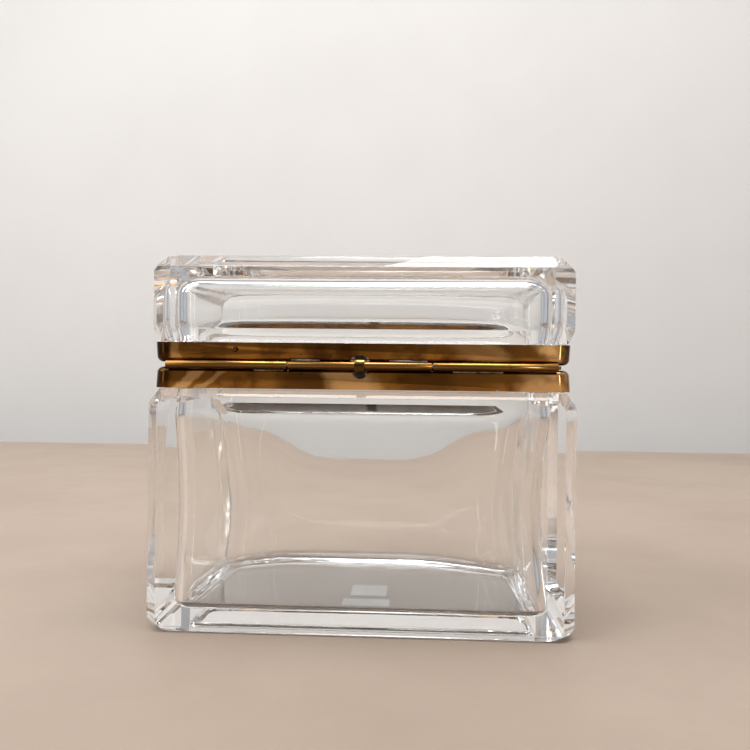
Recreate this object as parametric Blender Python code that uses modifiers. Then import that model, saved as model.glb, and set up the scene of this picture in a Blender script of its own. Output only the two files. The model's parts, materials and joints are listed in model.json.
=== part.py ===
"""Crystal casket: a cut-glass box and lid, joined by two brass collars and a long back hinge.

Metres, +Z up. The origin is on the table under the middle of the box. +X runs along the hinge,
-Y is the hinge side and +Y is the side that opens, with a small swivel catch.
"""
import math

import bmesh
import bpy
from mathutils import Matrix, Vector

MM = 0.001

# ---- driving dimensions, in millimetres ----
WIDTH = 140.0                 # outside of the glass, along X
DEPTH = 90.0                  # outside of the glass, along Y
HEIGHT = 123.0
WALL = 7.2                    # glass wall at the floor of the box
GAP = 0.3                     # air between pieces that touch
RUNNING_FIT = 0.1             # radial room of a pin or rivet in its hole

SHOULDER_Z = 79.2             # top of the box's full width
RIM_Z = 85.3                  # ground top edge of the box
BASE_COLLAR_Z = (79.5, 86.4)
LID_COLLAR_Z = (88.0, 94.5)
LID_RIM_Z = 89.1
LID_SHOULDER_Z = 94.8

BODY_CORNER = 4.1             # legs of the facets on the four upright corners
LID_CORNER = 8.1
# sloping facets, as (height, inset) on the long sides, the ends and the corners
BODY_BOTTOM_FACETS = ((2.0, 1.2), (3.6, 2.4), (3.6, 2.4))
BODY_TOP_FACETS = ((2.4, 2.3), (4.3, 3.1), (5.4, 3.2))
LID_BOTTOM_FACETS = ((4.1, 2.4), (4.3, 2.2), (5.0, 2.2))
LID_TOP_FACETS = ((4.0, 4.0), (4.4, 5.0), (2.9, 2.6))
NECK_INSET = 4.0              # the glass necks stand this far inside the glass faces
NECK_CORNER = 6.0
COLLAR_INSET = 2.1
COLLAR_CORNER_R = 4.0
COLLAR_EDGE_R = 2.0           # rounded edge where the collars meet
SHEET = 0.8                   # thickness of the collars' brass
CEMENT = 0.5

FLOOR_Z = 5.4                 # inside floor of the box
ROOF_Z = 117.0                # inside roof of the lid
CAVITY_CORNER_R = 8.0
FLOOR_FILLET_R = 3.0
ROOF_FILLET_R = 5.0
WAIST = (2.4, 0.3)            # how far the end walls and the long walls swell in, half way up
WAIST_TOP_Z = 68.0            # where that swelling ends
WAIST_ROWS = 6
THROAT = (0.8, 1.5)           # a second swelling of the same walls, behind the shoulder
THROAT_Z = 75.5
RECESS = (57.0, 33.0, 0.9)    # half length, half width and depth of the hollow under the base

BEZEL_SHEET = 0.7
BEZEL_Z = (84.2, 89.7)

HINGE_Y = -43.4
HINGE_Z = 87.2
BARREL_R = 1.45
HINGE_PIN_R = 0.6
HINGE_PIN_X = (-63.1, 64.2)
BARREL_HALF = 63.3
LID_KNUCKLE_HALF = 23.2
KNUCKLE_GAP = 0.4
LEAF = 0.45                   # thickness of the hinge leaves
LEAF_WIDTH = 3.8
LEAF_END = 1.5                # how far a leaf stops short of its knuckle's ends

STRAP_WIDTH = 3.3             # bent stop strap over the middle of the barrel
STRAP_THICK = 0.7
STRAP_TOP_DEG = 60.0          # where it ends, up from straight out
STRAP_TAIL = 1.2
LID_NOTCH = (6.2, 2.5)        # width and height of the notches that the strap passes
BASE_NOTCH = (4.8, 3.4)
NOTCH_DEPTH = 2.6             # how far in from the hinge line the notches reach

COLLAR_PIN_X = -41.0          # small round-headed pin through the lid's collar
COLLAR_PIN_Z = 92.3
COLLAR_PIN_R = 0.45
COLLAR_PIN_HEAD = (0.9, 0.5)  # radius and height of its head

CATCH_Z = 91.2                # pivot of the catch lever, on the opening side
KEEPER_Z = 83.0
RIVET_R = 0.75
RIVET_HEAD_R = 1.6
KEEPER_R = 0.6
KEEPER_HEAD_R = 1.2
WASHER_R = 1.7
WASHER_THICK = 0.4
LEVER_THICK = 0.8
LEVER_HEAD_R = 2.1
LEVER_ARM = 1.75              # half width of the arm
LEVER_LENGTH = 11.4           # pivot to tip
LEVER_SLOT = 0.9              # half width of the slot that takes the keeper
DOME = 0.85                   # height of the rivet's and the keeper's heads

LABEL_THICK = 0.12            # the two blank paper labels under the base
LABELS = (("price_label", (16.5, 9.0), (1.6, -19.5)), ("square_label", (13.1, 13.0), (1.9, -4.5)))

ROUND = 24                    # sides of small round pieces

HALF_X = WIDTH / 2
HALF_Y = DEPTH / 2
COLLAR_X = HALF_X - COLLAR_INSET
COLLAR_Y = HALF_Y - COLLAR_INSET

FINISHES = {
    "crystal": ((0.93, 0.95, 0.95, 1.0), 0.02, 0.0),
    "brass": ((0.52, 0.33, 0.11, 1.0), 0.28, 1.0),
    "dark_steel": ((0.16, 0.10, 0.08, 1.0), 0.35, 1.0),
    "cement": ((0.72, 0.70, 0.66, 1.0), 0.9, 0.0),
    "paper": ((0.90, 0.90, 0.88, 1.0), 0.8, 0.0),
}


# ---- scene and materials ----
def clear_scene():
    """Remove everything, and return the collections for the parts and for the cutters."""
    for obj in list(bpy.data.objects):
        bpy.data.objects.remove(obj, do_unlink=True)
    made = []
    for name in ("crystal_casket", "cutters"):
        collection = bpy.data.collections.new(name)
        bpy.context.scene.collection.children.link(collection)
        made.append(collection)
    return made


def dress(obj, finish):
    """Give a part its own material."""
    colour, roughness, metallic = FINISHES[finish]
    material = bpy.data.materials.new(f"{obj.name}_{finish}")
    material.use_nodes = True
    shader = material.node_tree.nodes["Principled BSDF"]
    shader.inputs["Base Color"].default_value = colour
    shader.inputs["Roughness"].default_value = roughness
    shader.inputs["Metallic"].default_value = metallic
    if finish == "crystal":
        shader.inputs["Transmission Weight"].default_value = 1.0
        shader.inputs["IOR"].default_value = 1.54
    material.diffuse_color = colour
    obj.data.materials.clear()
    obj.data.materials.append(material)


def add_object(name, bm, collection):
    """Turn an edit mesh in millimetres into an object in metres."""
    bmesh.ops.scale(bm, vec=Vector((MM, MM, MM)), verts=bm.verts)
    mesh = bpy.data.meshes.new(name)
    bm.to_mesh(mesh)
    bm.free()
    obj = bpy.data.objects.new(name, mesh)
    collection.objects.link(obj)
    return obj


def add_cutter(name, bm):
    """Make a cutter: drawn as wire, and left out of renders."""
    obj = add_object(name, bm, CUTTERS)
    obj.hide_render = True
    obj.display_type = "WIRE"
    return obj


def boolean(obj, operation, *cutters):
    """Cut or join each cutter with a live Boolean."""
    for cutter in cutters:
        modifier = obj.modifiers.new(f"{operation.lower()}_{cutter.name}", "BOOLEAN")
        modifier.operation = operation
        modifier.solver = "EXACT"
        modifier.object = cutter


def smooth(obj, degrees=35.0):
    """Shade the round faces smooth and keep the real edges sharp."""
    obj.data.shade_smooth()
    obj.data.set_sharp_from_angle(angle=math.radians(degrees))


# ---- basic shapes, in millimetres ----
def box(low, high):
    """A plain box between two corners."""
    bm = bmesh.new()
    bmesh.ops.create_cube(bm, size=1.0)
    low, high = Vector(low), Vector(high)
    bmesh.ops.scale(bm, vec=high - low, verts=bm.verts)
    bmesh.ops.translate(bm, vec=(low + high) / 2, verts=bm.verts)
    return bm


def upright(edge):
    """True for an edge that runs along Z."""
    first, second = (vert.co for vert in edge.verts)
    return (first - second).to_2d().length < abs(first.z - second.z) * 0.2


def level_at(edge, z):
    """True for an edge that lies at height z."""
    return all(abs(vert.co.z - z) < 1e-3 for vert in edge.verts)


def round_edges(bm, edges, radius, segments):
    """Round a set of edges."""
    bmesh.ops.bevel(bm, geom=list(edges), offset=radius, offset_type="OFFSET",
                    segments=segments, profile=0.5, affect="EDGES", clamp_overlap=True)


def rounded_box(half_x, half_y, z0, z1, corner, segments=5):
    """A box about the Z axis with rounded upright corners."""
    bm = box((-half_x, -half_y, z0), (half_x, half_y, z1))
    round_edges(bm, [edge for edge in bm.edges if upright(edge)], corner, segments)
    return bm


def rod(radius, y0, y1, x, z, sides=ROUND):
    """A round rod along Y."""
    bm = bmesh.new()
    turn = Matrix.Translation(Vector((x, (y0 + y1) / 2, z))) @ Matrix.Rotation(math.pi / 2, 4, "X")
    bmesh.ops.create_cone(bm, cap_ends=True, segments=sides, radius1=radius, radius2=radius,
                          depth=y1 - y0, matrix=turn)
    return bm


def axle(radius, x0, x1, sides=ROUND):
    """A round rod along the hinge line."""
    bm = bmesh.new()
    middle = Vector(((x0 + x1) / 2, HINGE_Y, HINGE_Z))
    turn = Matrix.Translation(middle) @ Matrix.Rotation(math.pi / 2, 4, "Y")
    bmesh.ops.create_cone(bm, cap_ends=True, segments=sides, radius1=radius, radius2=radius,
                          depth=x1 - x0, matrix=turn)
    return bm


def outline_plate(name, outline, thickness):
    """A flat plate from a closed outline in the XY plane, as a curve."""
    curve = bpy.data.curves.new(name, "CURVE")
    curve.dimensions = "2D"
    curve.fill_mode = "BOTH"
    curve.extrude = thickness * MM / 2
    spline = curve.splines.new("POLY")
    spline.points.add(len(outline) - 1)
    for point, (x, y) in zip(spline.points, outline):
        point.co = (x * MM, y * MM, 0.0, 1.0)
    spline.use_cyclic_u = True
    obj = bpy.data.objects.new(name, curve)
    PARTS.objects.link(obj)
    return obj


def curve_to_mesh(obj, collection):
    """Replace a curve by a welded mesh that a Boolean can use."""
    bpy.context.view_layer.update()
    evaluated = obj.evaluated_get(bpy.context.evaluated_depsgraph_get())
    mesh = bpy.data.meshes.new_from_object(evaluated)
    bm = bmesh.new()
    bm.from_mesh(mesh)
    bmesh.ops.remove_doubles(bm, verts=bm.verts, dist=1e-6)
    bmesh.ops.dissolve_limit(bm, angle_limit=math.radians(0.5), verts=bm.verts, edges=bm.edges)
    bm.to_mesh(mesh)
    bm.free()
    name = obj.name
    place = obj.matrix_world.copy()
    bpy.data.objects.remove(obj, do_unlink=True)
    solid = bpy.data.objects.new(name, mesh)
    solid.matrix_world = place
    collection.objects.link(solid)
    return solid


def arc(centre, radius, start, end, steps):
    """Points on an arc, in degrees, both ends included."""
    turns = [math.radians(start + (end - start) * i / steps) for i in range(steps + 1)]
    return [(centre[0] + radius * math.cos(a), centre[1] + radius * math.sin(a)) for a in turns]


# ---- crystal ----
def side_directions(corner):
    """The eight faces round a block: unit direction and distance from the middle."""
    diagonal = (HALF_X + HALF_Y - corner) / math.sqrt(2)
    faces = [(Vector((s, 0.0, 0.0)), HALF_X) for s in (-1, 1)]
    faces += [(Vector((0.0, s, 0.0)), HALF_Y) for s in (-1, 1)]
    faces += [(Vector((sx, sy, 0.0)).normalized(), diagonal) for sx in (-1, 1) for sy in (-1, 1)]
    return faces


def grind(bm, point, normal):
    """Cut one flat facet: what lies outside the plane is ground away."""
    geometry = list(bm.verts) + list(bm.edges) + list(bm.faces)
    cut = bmesh.ops.bisect_plane(bm, geom=geometry, plane_co=point, plane_no=normal,
                                 clear_outer=True, dist=1e-5)
    rim = [item for item in cut["geom_cut"] if isinstance(item, bmesh.types.BMEdge)]
    if rim:
        bmesh.ops.contextual_create(bm, geom=rim)


def grind_level(bm, corner, z, way, long_side, end, diagonal):
    """Cut the sloping facets round the top (way 1) or the bottom (way -1) of a block.

    long_side, end and diagonal are (height, inset) of the facets on the long sides, the two ends
    and the four corners.
    """
    for direction, reach in side_directions(corner):
        if abs(direction.x) < 0.1:
            height, inset = long_side
        elif abs(direction.y) < 0.1:
            height, inset = end
        else:
            height, inset = diagonal
        point = direction * reach + Vector((0.0, 0.0, z - way * height))
        normal = direction * height + Vector((0.0, 0.0, way * inset))
        grind(bm, point, normal.normalized())


def crystal_block(z0, z1, corner, bottom, top):
    """A faceted block of glass; bottom and top hold the sizes of the sloping facets."""
    bm = box((-HALF_X, -HALF_Y, z0), (HALF_X, HALF_Y, z1))
    for direction, reach in side_directions(corner)[4:]:
        grind(bm, direction * reach, direction)
    grind_level(bm, corner, z0, -1, *bottom)
    grind_level(bm, corner, z1, 1, *top)
    bmesh.ops.recalc_face_normals(bm, faces=bm.faces)
    return bm


def neck_block(z0, z1):
    """The ground neck that a collar is cemented round."""
    return rounded_box(HALF_X - NECK_INSET, HALF_Y - NECK_INSET, z0, z1, NECK_CORNER, 3)


def swell(z, waist, throat):
    """How far an inside wall of the box stands in at height z."""
    if z <= WAIST_TOP_Z:
        return waist * math.sin(math.pi * (z - FLOOR_Z) / (WAIST_TOP_Z - FLOOR_Z)) ** 2
    return throat if abs(z - THROAT_Z) < 1.0 else 0.0


def cavity_block(z_shut, z_open, fillet):
    """The hollow of the box or the lid: rounded corners and a filleted closed end."""
    half_x, half_y = HALF_X - WALL, HALF_Y - WALL
    bm = box((-half_x, -half_y, min(z_shut, z_open)), (half_x, half_y, max(z_shut, z_open)))
    round_edges(bm, [edge for edge in bm.edges if upright(edge)], CAVITY_CORNER_R, 4)
    round_edges(bm, [edge for edge in bm.edges if level_at(edge, z_shut)], fillet, 3)
    return bm


def swell_walls(bm):
    """Cut rows round the hollow of the box and push each one in."""
    rows = [FLOOR_Z + (WAIST_TOP_Z - FLOOR_Z) * i / WAIST_ROWS for i in range(1, WAIST_ROWS + 1)]
    for z in rows + [THROAT_Z, RIM_Z - 2.0]:
        geometry = list(bm.verts) + list(bm.edges) + list(bm.faces)
        bmesh.ops.bisect_plane(bm, geom=geometry, plane_co=(0, 0, z), plane_no=(0, 0, 1), dist=1e-5)
    for vert in bm.verts:
        vert.co.x *= 1 - swell(vert.co.z, WAIST[0], THROAT[0]) / (HALF_X - WALL)
        vert.co.y *= 1 - swell(vert.co.z, WAIST[1], THROAT[1]) / (HALF_Y - WALL)


def build_glass():
    """The box and the lid, each one block with a neck and a hollow."""
    body = add_object("body_glass", crystal_block(
        0.0, SHOULDER_Z, BODY_CORNER, BODY_BOTTOM_FACETS, BODY_TOP_FACETS), PARTS)
    base_neck = add_cutter("base_neck", neck_block(SHOULDER_Z - 12.0, RIM_Z))
    hollow = cavity_block(FLOOR_Z, RIM_Z + 5.0, FLOOR_FILLET_R)
    swell_walls(hollow)
    body_hollow = add_cutter("body_hollow", hollow)
    half_x, half_y, deep = RECESS
    recess = add_cutter("base_recess", rounded_box(half_x, half_y, -5.0, deep, 4.0, 2))
    boolean(body, "UNION", base_neck)
    boolean(body, "DIFFERENCE", body_hollow, recess)
    lid = add_object("lid_glass", crystal_block(
        LID_SHOULDER_Z, HEIGHT, LID_CORNER, LID_BOTTOM_FACETS, LID_TOP_FACETS), PARTS)
    lid_neck = add_cutter("lid_neck", neck_block(LID_RIM_Z, LID_SHOULDER_Z + 12.0))
    lid_hollow = add_cutter("lid_hollow", cavity_block(ROOF_Z, LID_RIM_Z - 5.0, ROOF_FILLET_R))
    boolean(lid, "UNION", lid_neck)
    boolean(lid, "DIFFERENCE", lid_hollow)
    for glass in (body, lid):
        dress(glass, "crystal")


# ---- collars, cement and bezel ----
def shell_ring(name, half_x, half_y, z0, z1, corner, thickness):
    """An upright band: the four walls of a rounded box, thickened inwards."""
    bm = rounded_box(half_x, half_y, z0, z1, corner)
    ends = [face for face in bm.faces if abs(face.normal.z) > 0.9]
    bmesh.ops.delete(bm, geom=ends, context="FACES")
    obj = add_object(name, bm, PARTS)
    thicken(obj, thickness)
    return obj


def thicken(obj, thickness):
    """Give an open surface its thickness, on the inside."""
    modifier = obj.modifiers.new("sheet", "SOLIDIFY")
    modifier.thickness = thickness * MM
    modifier.offset = -1.0
    modifier.use_even_offset = True


def collar(name, skirt_z, parting_z):
    """A brass collar: a skirt outside the glass, a rounded edge and a flat flange over the rim."""
    bm = rounded_box(COLLAR_X, COLLAR_Y, min(skirt_z, parting_z), max(skirt_z, parting_z),
                     COLLAR_CORNER_R)
    rim = [edge for edge in bm.edges if level_at(edge, parting_z)]
    round_edges(bm, rim, COLLAR_EDGE_R, 4)
    open_end = [face for face in bm.faces
                if abs(face.normal.z) > 0.9 and abs(face.calc_center_median().z - skirt_z) < 1e-3]
    bmesh.ops.delete(bm, geom=open_end, context="FACES")
    obj = add_object(name, bm, PARTS)
    thicken(obj, SHEET)
    flange = add_cutter(f"{name}_opening", rounded_box(
        HALF_X - WALL, HALF_Y - WALL, parting_z - 3.0, parting_z + 3.0, CAVITY_CORNER_R))
    boolean(obj, "DIFFERENCE", flange)
    return obj


def strap_notch(name, size, parting_z, way):
    """A round-cornered notch in the collar's parting edge, at the middle of the hinge."""
    width, height = size
    ends = sorted((parting_z - way * 2.0, parting_z + way * height))
    bm = box((-width / 2, HINGE_Y - 3.0, ends[0]), (width / 2, HINGE_Y + NOTCH_DEPTH, ends[1]))
    far_z = parting_z + way * height
    far = [edge for edge in bm.edges if level_at(edge, far_z)
           and abs(edge.verts[0].co.x - edge.verts[1].co.x) < 1e-3]
    round_edges(bm, far, min(width / 2.2, height * 0.8), 4)
    return add_cutter(name, bm)


def build_base_frame():
    """What is fixed to the box: its collar, the cement behind it and the bezel that locates the lid."""
    base = collar("base_collar", BASE_COLLAR_Z[0], BASE_COLLAR_Z[1])
    hole = rod(KEEPER_R + RUNNING_FIT, COLLAR_Y - 2.0, COLLAR_Y + 2.0, 0.0, KEEPER_Z)
    boolean(base, "DIFFERENCE", strap_notch("base_notch", BASE_NOTCH, BASE_COLLAR_Z[1], -1),
            add_cutter("keeper_hole", hole))
    inside = SHEET + GAP
    cement = shell_ring("base_cement", COLLAR_X - inside, COLLAR_Y - inside, BASE_COLLAR_Z[0] + GAP,
                        RIM_Z - GAP, COLLAR_CORNER_R - inside, CEMENT)
    bezel = shell_ring("locating_bezel", HALF_X - WALL - GAP, HALF_Y - WALL - GAP, *BEZEL_Z,
                       CAVITY_CORNER_R - GAP, BEZEL_SHEET)
    smooth(base)
    smooth(bezel)
    dress(base, "brass")
    dress(bezel, "brass")
    dress(cement, "cement")


def build_lid_frame():
    """What is fixed to the lid: its collar, the cement and the small pin through the collar."""
    lid = collar("lid_collar", LID_COLLAR_Z[1], LID_COLLAR_Z[0])
    rivet_hole = rod(RIVET_R + RUNNING_FIT, COLLAR_Y - 2.0, COLLAR_Y + 2.0, 0.0, CATCH_Z)
    pin_hole = rod(COLLAR_PIN_R + RUNNING_FIT, -COLLAR_Y - 2.0, -COLLAR_Y + 2.0,
                   COLLAR_PIN_X, COLLAR_PIN_Z)
    boolean(lid, "DIFFERENCE", strap_notch("lid_notch", LID_NOTCH, LID_COLLAR_Z[0], 1),
            add_cutter("rivet_hole", rivet_hole), add_cutter("pin_hole", pin_hole))
    inside = SHEET + GAP
    cement = shell_ring("lid_cement", COLLAR_X - inside, COLLAR_Y - inside, LID_RIM_Z + GAP,
                        LID_COLLAR_Z[1] - GAP, COLLAR_CORNER_R - inside, CEMENT)
    radius, height = COLLAR_PIN_HEAD
    pin = headed_pin("lid_collar_pin", COLLAR_PIN_X, COLLAR_PIN_Z, COLLAR_PIN_R, radius, height,
                     COLLAR_Y - 0.6, COLLAR_Y + GAP, -1)
    smooth(lid)
    dress(lid, "brass")
    dress(cement, "cement")
    dress(pin, "dark_steel")


# ---- turned pieces ----
def headed_pin(name, x, z, shank, head, dome, y_tail, y_head, side):
    """A round-headed pin square to the front (side 1) or the back (side -1)."""
    profile = [(0.0, y_head + dome)]
    for i in range(1, 5):
        turn = math.radians(90.0 - 22.5 * i)
        profile.append((head * math.cos(turn), y_head + dome * math.sin(turn)))
    profile += [(shank, y_head), (shank, y_tail), (0.0, y_tail)]
    bm = bmesh.new()
    verts = [bm.verts.new((radius, 0.0, height)) for radius, height in profile]
    for first, second in zip(verts, verts[1:]):
        bm.edges.new((first, second))
    obj = add_object(name, bm, PARTS)
    obj.location = (x * MM, 0.0, z * MM)
    obj.rotation_euler = (-side * math.pi / 2, 0.0, 0.0)
    turned = obj.modifiers.new("turned", "SCREW")
    turned.steps = turned.render_steps = ROUND
    turned.use_merge_vertices = True
    turned.merge_threshold = 0.000001
    smooth(obj)
    return obj


# ---- hinge ----
def knuckle(name, x0, x1, leaf_z):
    """One knuckle of the barrel with its leaf, which lies on the collar's flat."""
    obj = add_object(name, axle(BARREL_R, x0, x1), PARTS)
    leaf = box((x0 + LEAF_END, HINGE_Y + 1.0, leaf_z),
               (x1 - LEAF_END, HINGE_Y + 1.0 + LEAF_WIDTH, leaf_z + LEAF))
    boolean(obj, "UNION", add_cutter(f"{name}_plate", leaf))
    boolean(obj, "DIFFERENCE", add_cutter(f"{name}_bore", axle(
        HINGE_PIN_R + RUNNING_FIT, x0 - 1.0, x1 + 1.0)))
    smooth(obj)
    dress(obj, "brass")


def build_stop_strap():
    """The bent strap over the barrel: the lid's leaf comes to rest on its end."""
    inner = BARREL_R + GAP
    outer = inner + STRAP_THICK
    # Outline in the plane across the hinge: first axis towards the outside, second axis up.
    outline = arc((0.0, 0.0), outer, STRAP_TOP_DEG, -90.0, 14)
    outline += [(-STRAP_TAIL, -outer), (-STRAP_TAIL, -inner)]
    outline += arc((0.0, 0.0), inner, -90.0, STRAP_TOP_DEG, 14)
    obj = outline_plate("stop_strap", outline, STRAP_WIDTH)
    outward, up = Vector((0.0, -1.0, 0.0)), Vector((0.0, 0.0, 1.0))
    turn = Matrix((outward, up, outward.cross(up))).transposed().to_4x4()
    obj.matrix_world = Matrix.Translation(Vector((0.0, HINGE_Y, HINGE_Z)) * MM) @ turn
    obj = curve_to_mesh(obj, PARTS)
    smooth(obj)
    dress(obj, "brass")


def build_hinge():
    """Three knuckles, the pin through them and the stop strap."""
    ends = LID_KNUCKLE_HALF + KNUCKLE_GAP
    below = BASE_COLLAR_Z[1] + GAP
    above = LID_COLLAR_Z[0] - GAP - LEAF
    knuckle("hinge_leaf_left", -BARREL_HALF, -ends, below)
    knuckle("hinge_leaf_right", ends, BARREL_HALF, below)
    knuckle("hinge_leaf_lid", -LID_KNUCKLE_HALF, LID_KNUCKLE_HALF, above)
    pin = add_object("hinge_pin", axle(HINGE_PIN_R, *HINGE_PIN_X), PARTS)
    smooth(pin)
    dress(pin, "dark_steel")
    build_stop_strap()


# ---- catch ----
def lever_outline():
    """Round head, straight arm and round tip, pivot at the origin, arm along the first axis."""
    meet = math.degrees(math.asin(LEVER_ARM / LEVER_HEAD_R))
    outline = arc((0.0, 0.0), LEVER_HEAD_R, meet, 360.0 - meet, 18)
    outline += arc((LEVER_LENGTH - LEVER_ARM, 0.0), LEVER_ARM, -90.0, 90.0, 10)
    return outline


def slot_outline():
    """The keeper's way into the arm: an arc about the pivot with a round end."""
    reach = CATCH_Z - KEEPER_Z
    inner, outer = reach - LEVER_SLOT, reach + LEVER_SLOT
    outline = arc((reach, 0.0), LEVER_SLOT, 0.0, 180.0, 8)
    outline += arc((0.0, 0.0), inner, -2.0, -24.0, 5)
    outline += arc((0.0, 0.0), outer, -24.0, -2.0, 5)
    return outline


def build_catch():
    """Washer, lever and rivet on the lid's collar, and the keeper stud on the base collar."""
    washer_y = COLLAR_Y + GAP
    lever_y = washer_y + WASHER_THICK + GAP
    head_y = lever_y + LEVER_THICK + GAP
    facing = Matrix.Rotation(math.pi / 2, 4, "X")
    lever = outline_plate("latch_lever", lever_outline(), LEVER_THICK)
    slot = outline_plate("lever_slot", slot_outline(), LEVER_THICK + 2.0)
    for piece in (lever, slot):
        middle = Vector((0.0, lever_y + LEVER_THICK / 2, CATCH_Z)) * MM
        piece.matrix_world = Matrix.Translation(middle) @ facing
    lever = curve_to_mesh(lever, PARTS)
    slot = curve_to_mesh(slot, CUTTERS)
    slot.hide_render = True
    slot.display_type = "WIRE"
    hole = rod(RIVET_R + RUNNING_FIT, lever_y - 1.0, lever_y + 2.0, 0.0, CATCH_Z)
    boolean(lever, "DIFFERENCE", slot, add_cutter("lever_hole", hole))
    washer = add_object("latch_washer", rod(
        WASHER_R, washer_y, washer_y + WASHER_THICK, 0.0, CATCH_Z), PARTS)
    washer_hole = rod(RIVET_R + RUNNING_FIT, washer_y - 1.0, washer_y + 1.0, 0.0, CATCH_Z)
    boolean(washer, "DIFFERENCE", add_cutter("washer_hole", washer_hole))
    rivet = headed_pin("latch_rivet", 0.0, CATCH_Z, RIVET_R, RIVET_HEAD_R, DOME,
                       COLLAR_Y - 0.6, head_y, 1)
    keeper = headed_pin("keeper_stud", 0.0, KEEPER_Z, KEEPER_R, KEEPER_HEAD_R, DOME,
                        COLLAR_Y - 0.6, head_y, 1)
    for piece in (lever, washer, rivet, keeper):
        dress(piece, "brass")


def build_labels():
    """The blank paper labels stuck under the base, up inside its hollow."""
    top = RECESS[2] - GAP
    for name, (length, width), (x, y) in LABELS:
        label = add_object(name, box((x - length / 2, y - width / 2, top - LABEL_THICK),
                                     (x + length / 2, y + width / 2, top)), PARTS)
        dress(label, "paper")


PARTS, CUTTERS = clear_scene()
build_glass()
build_base_frame()
build_lid_frame()
build_hinge()
build_catch()
build_labels()
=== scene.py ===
"""Crystal casket with brass collars: the looks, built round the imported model.

Metres, +Z up, origin on the table under the middle of the box. -Y is the hinge side, which the
camera sees, and +Y the side that opens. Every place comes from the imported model's own boxes.
"""
import json
import logging
import math
from contextlib import contextmanager
from dataclasses import dataclass
from enum import Enum
from typing import Callable, Iterator, Optional, Sequence, Union

import bmesh
import bpy
from mathutils import Matrix, Vector


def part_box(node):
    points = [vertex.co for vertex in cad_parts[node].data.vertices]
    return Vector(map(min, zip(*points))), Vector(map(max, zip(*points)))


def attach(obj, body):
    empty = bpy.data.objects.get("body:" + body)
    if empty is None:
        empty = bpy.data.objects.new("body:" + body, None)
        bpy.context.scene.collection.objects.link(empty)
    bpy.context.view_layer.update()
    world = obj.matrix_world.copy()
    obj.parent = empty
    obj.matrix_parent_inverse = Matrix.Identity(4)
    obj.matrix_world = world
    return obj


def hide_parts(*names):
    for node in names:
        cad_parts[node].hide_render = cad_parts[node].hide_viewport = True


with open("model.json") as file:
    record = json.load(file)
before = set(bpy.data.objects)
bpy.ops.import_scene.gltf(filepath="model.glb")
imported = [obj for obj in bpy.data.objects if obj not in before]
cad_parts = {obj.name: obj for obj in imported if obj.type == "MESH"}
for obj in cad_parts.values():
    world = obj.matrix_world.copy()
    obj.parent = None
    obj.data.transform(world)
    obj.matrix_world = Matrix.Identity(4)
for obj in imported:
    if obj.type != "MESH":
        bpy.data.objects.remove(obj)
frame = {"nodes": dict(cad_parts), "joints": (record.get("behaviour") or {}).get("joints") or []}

LOG = logging.getLogger("casket")
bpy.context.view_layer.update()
TOUCH = 0.00002               # air left between pieces that touch
NEAR = 0.000001               # places closer than this are the same place
WELD = 0.0000001              # points closer than this become one
BROKEN_EDGE = 0.00012         # how far a sharp edge of brass is broken
Point = Sequence[float]
Colour = tuple[float, float, float, float]
Value = Union[float, Sequence[float], bpy.types.NodeSocket]
Wiring = Callable[["Graph", dict[str, bpy.types.NodeSocket]], Sequence[bpy.types.NodeSocket]]


class Face(Enum):
    """A side of the casket, as the sign of Y on it."""

    HINGE = -1
    OPENING = 1


class Way(Enum):
    """Up or down, as the sign of Z."""

    UP = 1
    DOWN = -1


@dataclass(frozen=True)
class Span:
    """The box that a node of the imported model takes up."""

    low: Vector
    high: Vector

    @property
    def size(self) -> Vector:
        """Length, depth and height."""
        return self.high - self.low

    @property
    def middle(self) -> Vector:
        """The centre of the box."""
        return (self.low + self.high) / 2


def span(node: str) -> Span:
    """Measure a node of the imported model.

    Args:
        node: the node's name.

    Returns:
        Its box at rest.
    """
    return Span(*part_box(node))


def joint_place(name: str) -> Vector:
    """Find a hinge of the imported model.

    Args:
        name: the joint's name.

    Returns:
        The point that the joint turns about.
    """
    found = next(joint for joint in frame["joints"] if joint["name"] == name)
    return Vector(found["pos_m"])


# ---------------------------------------------------------------- bench


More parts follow.
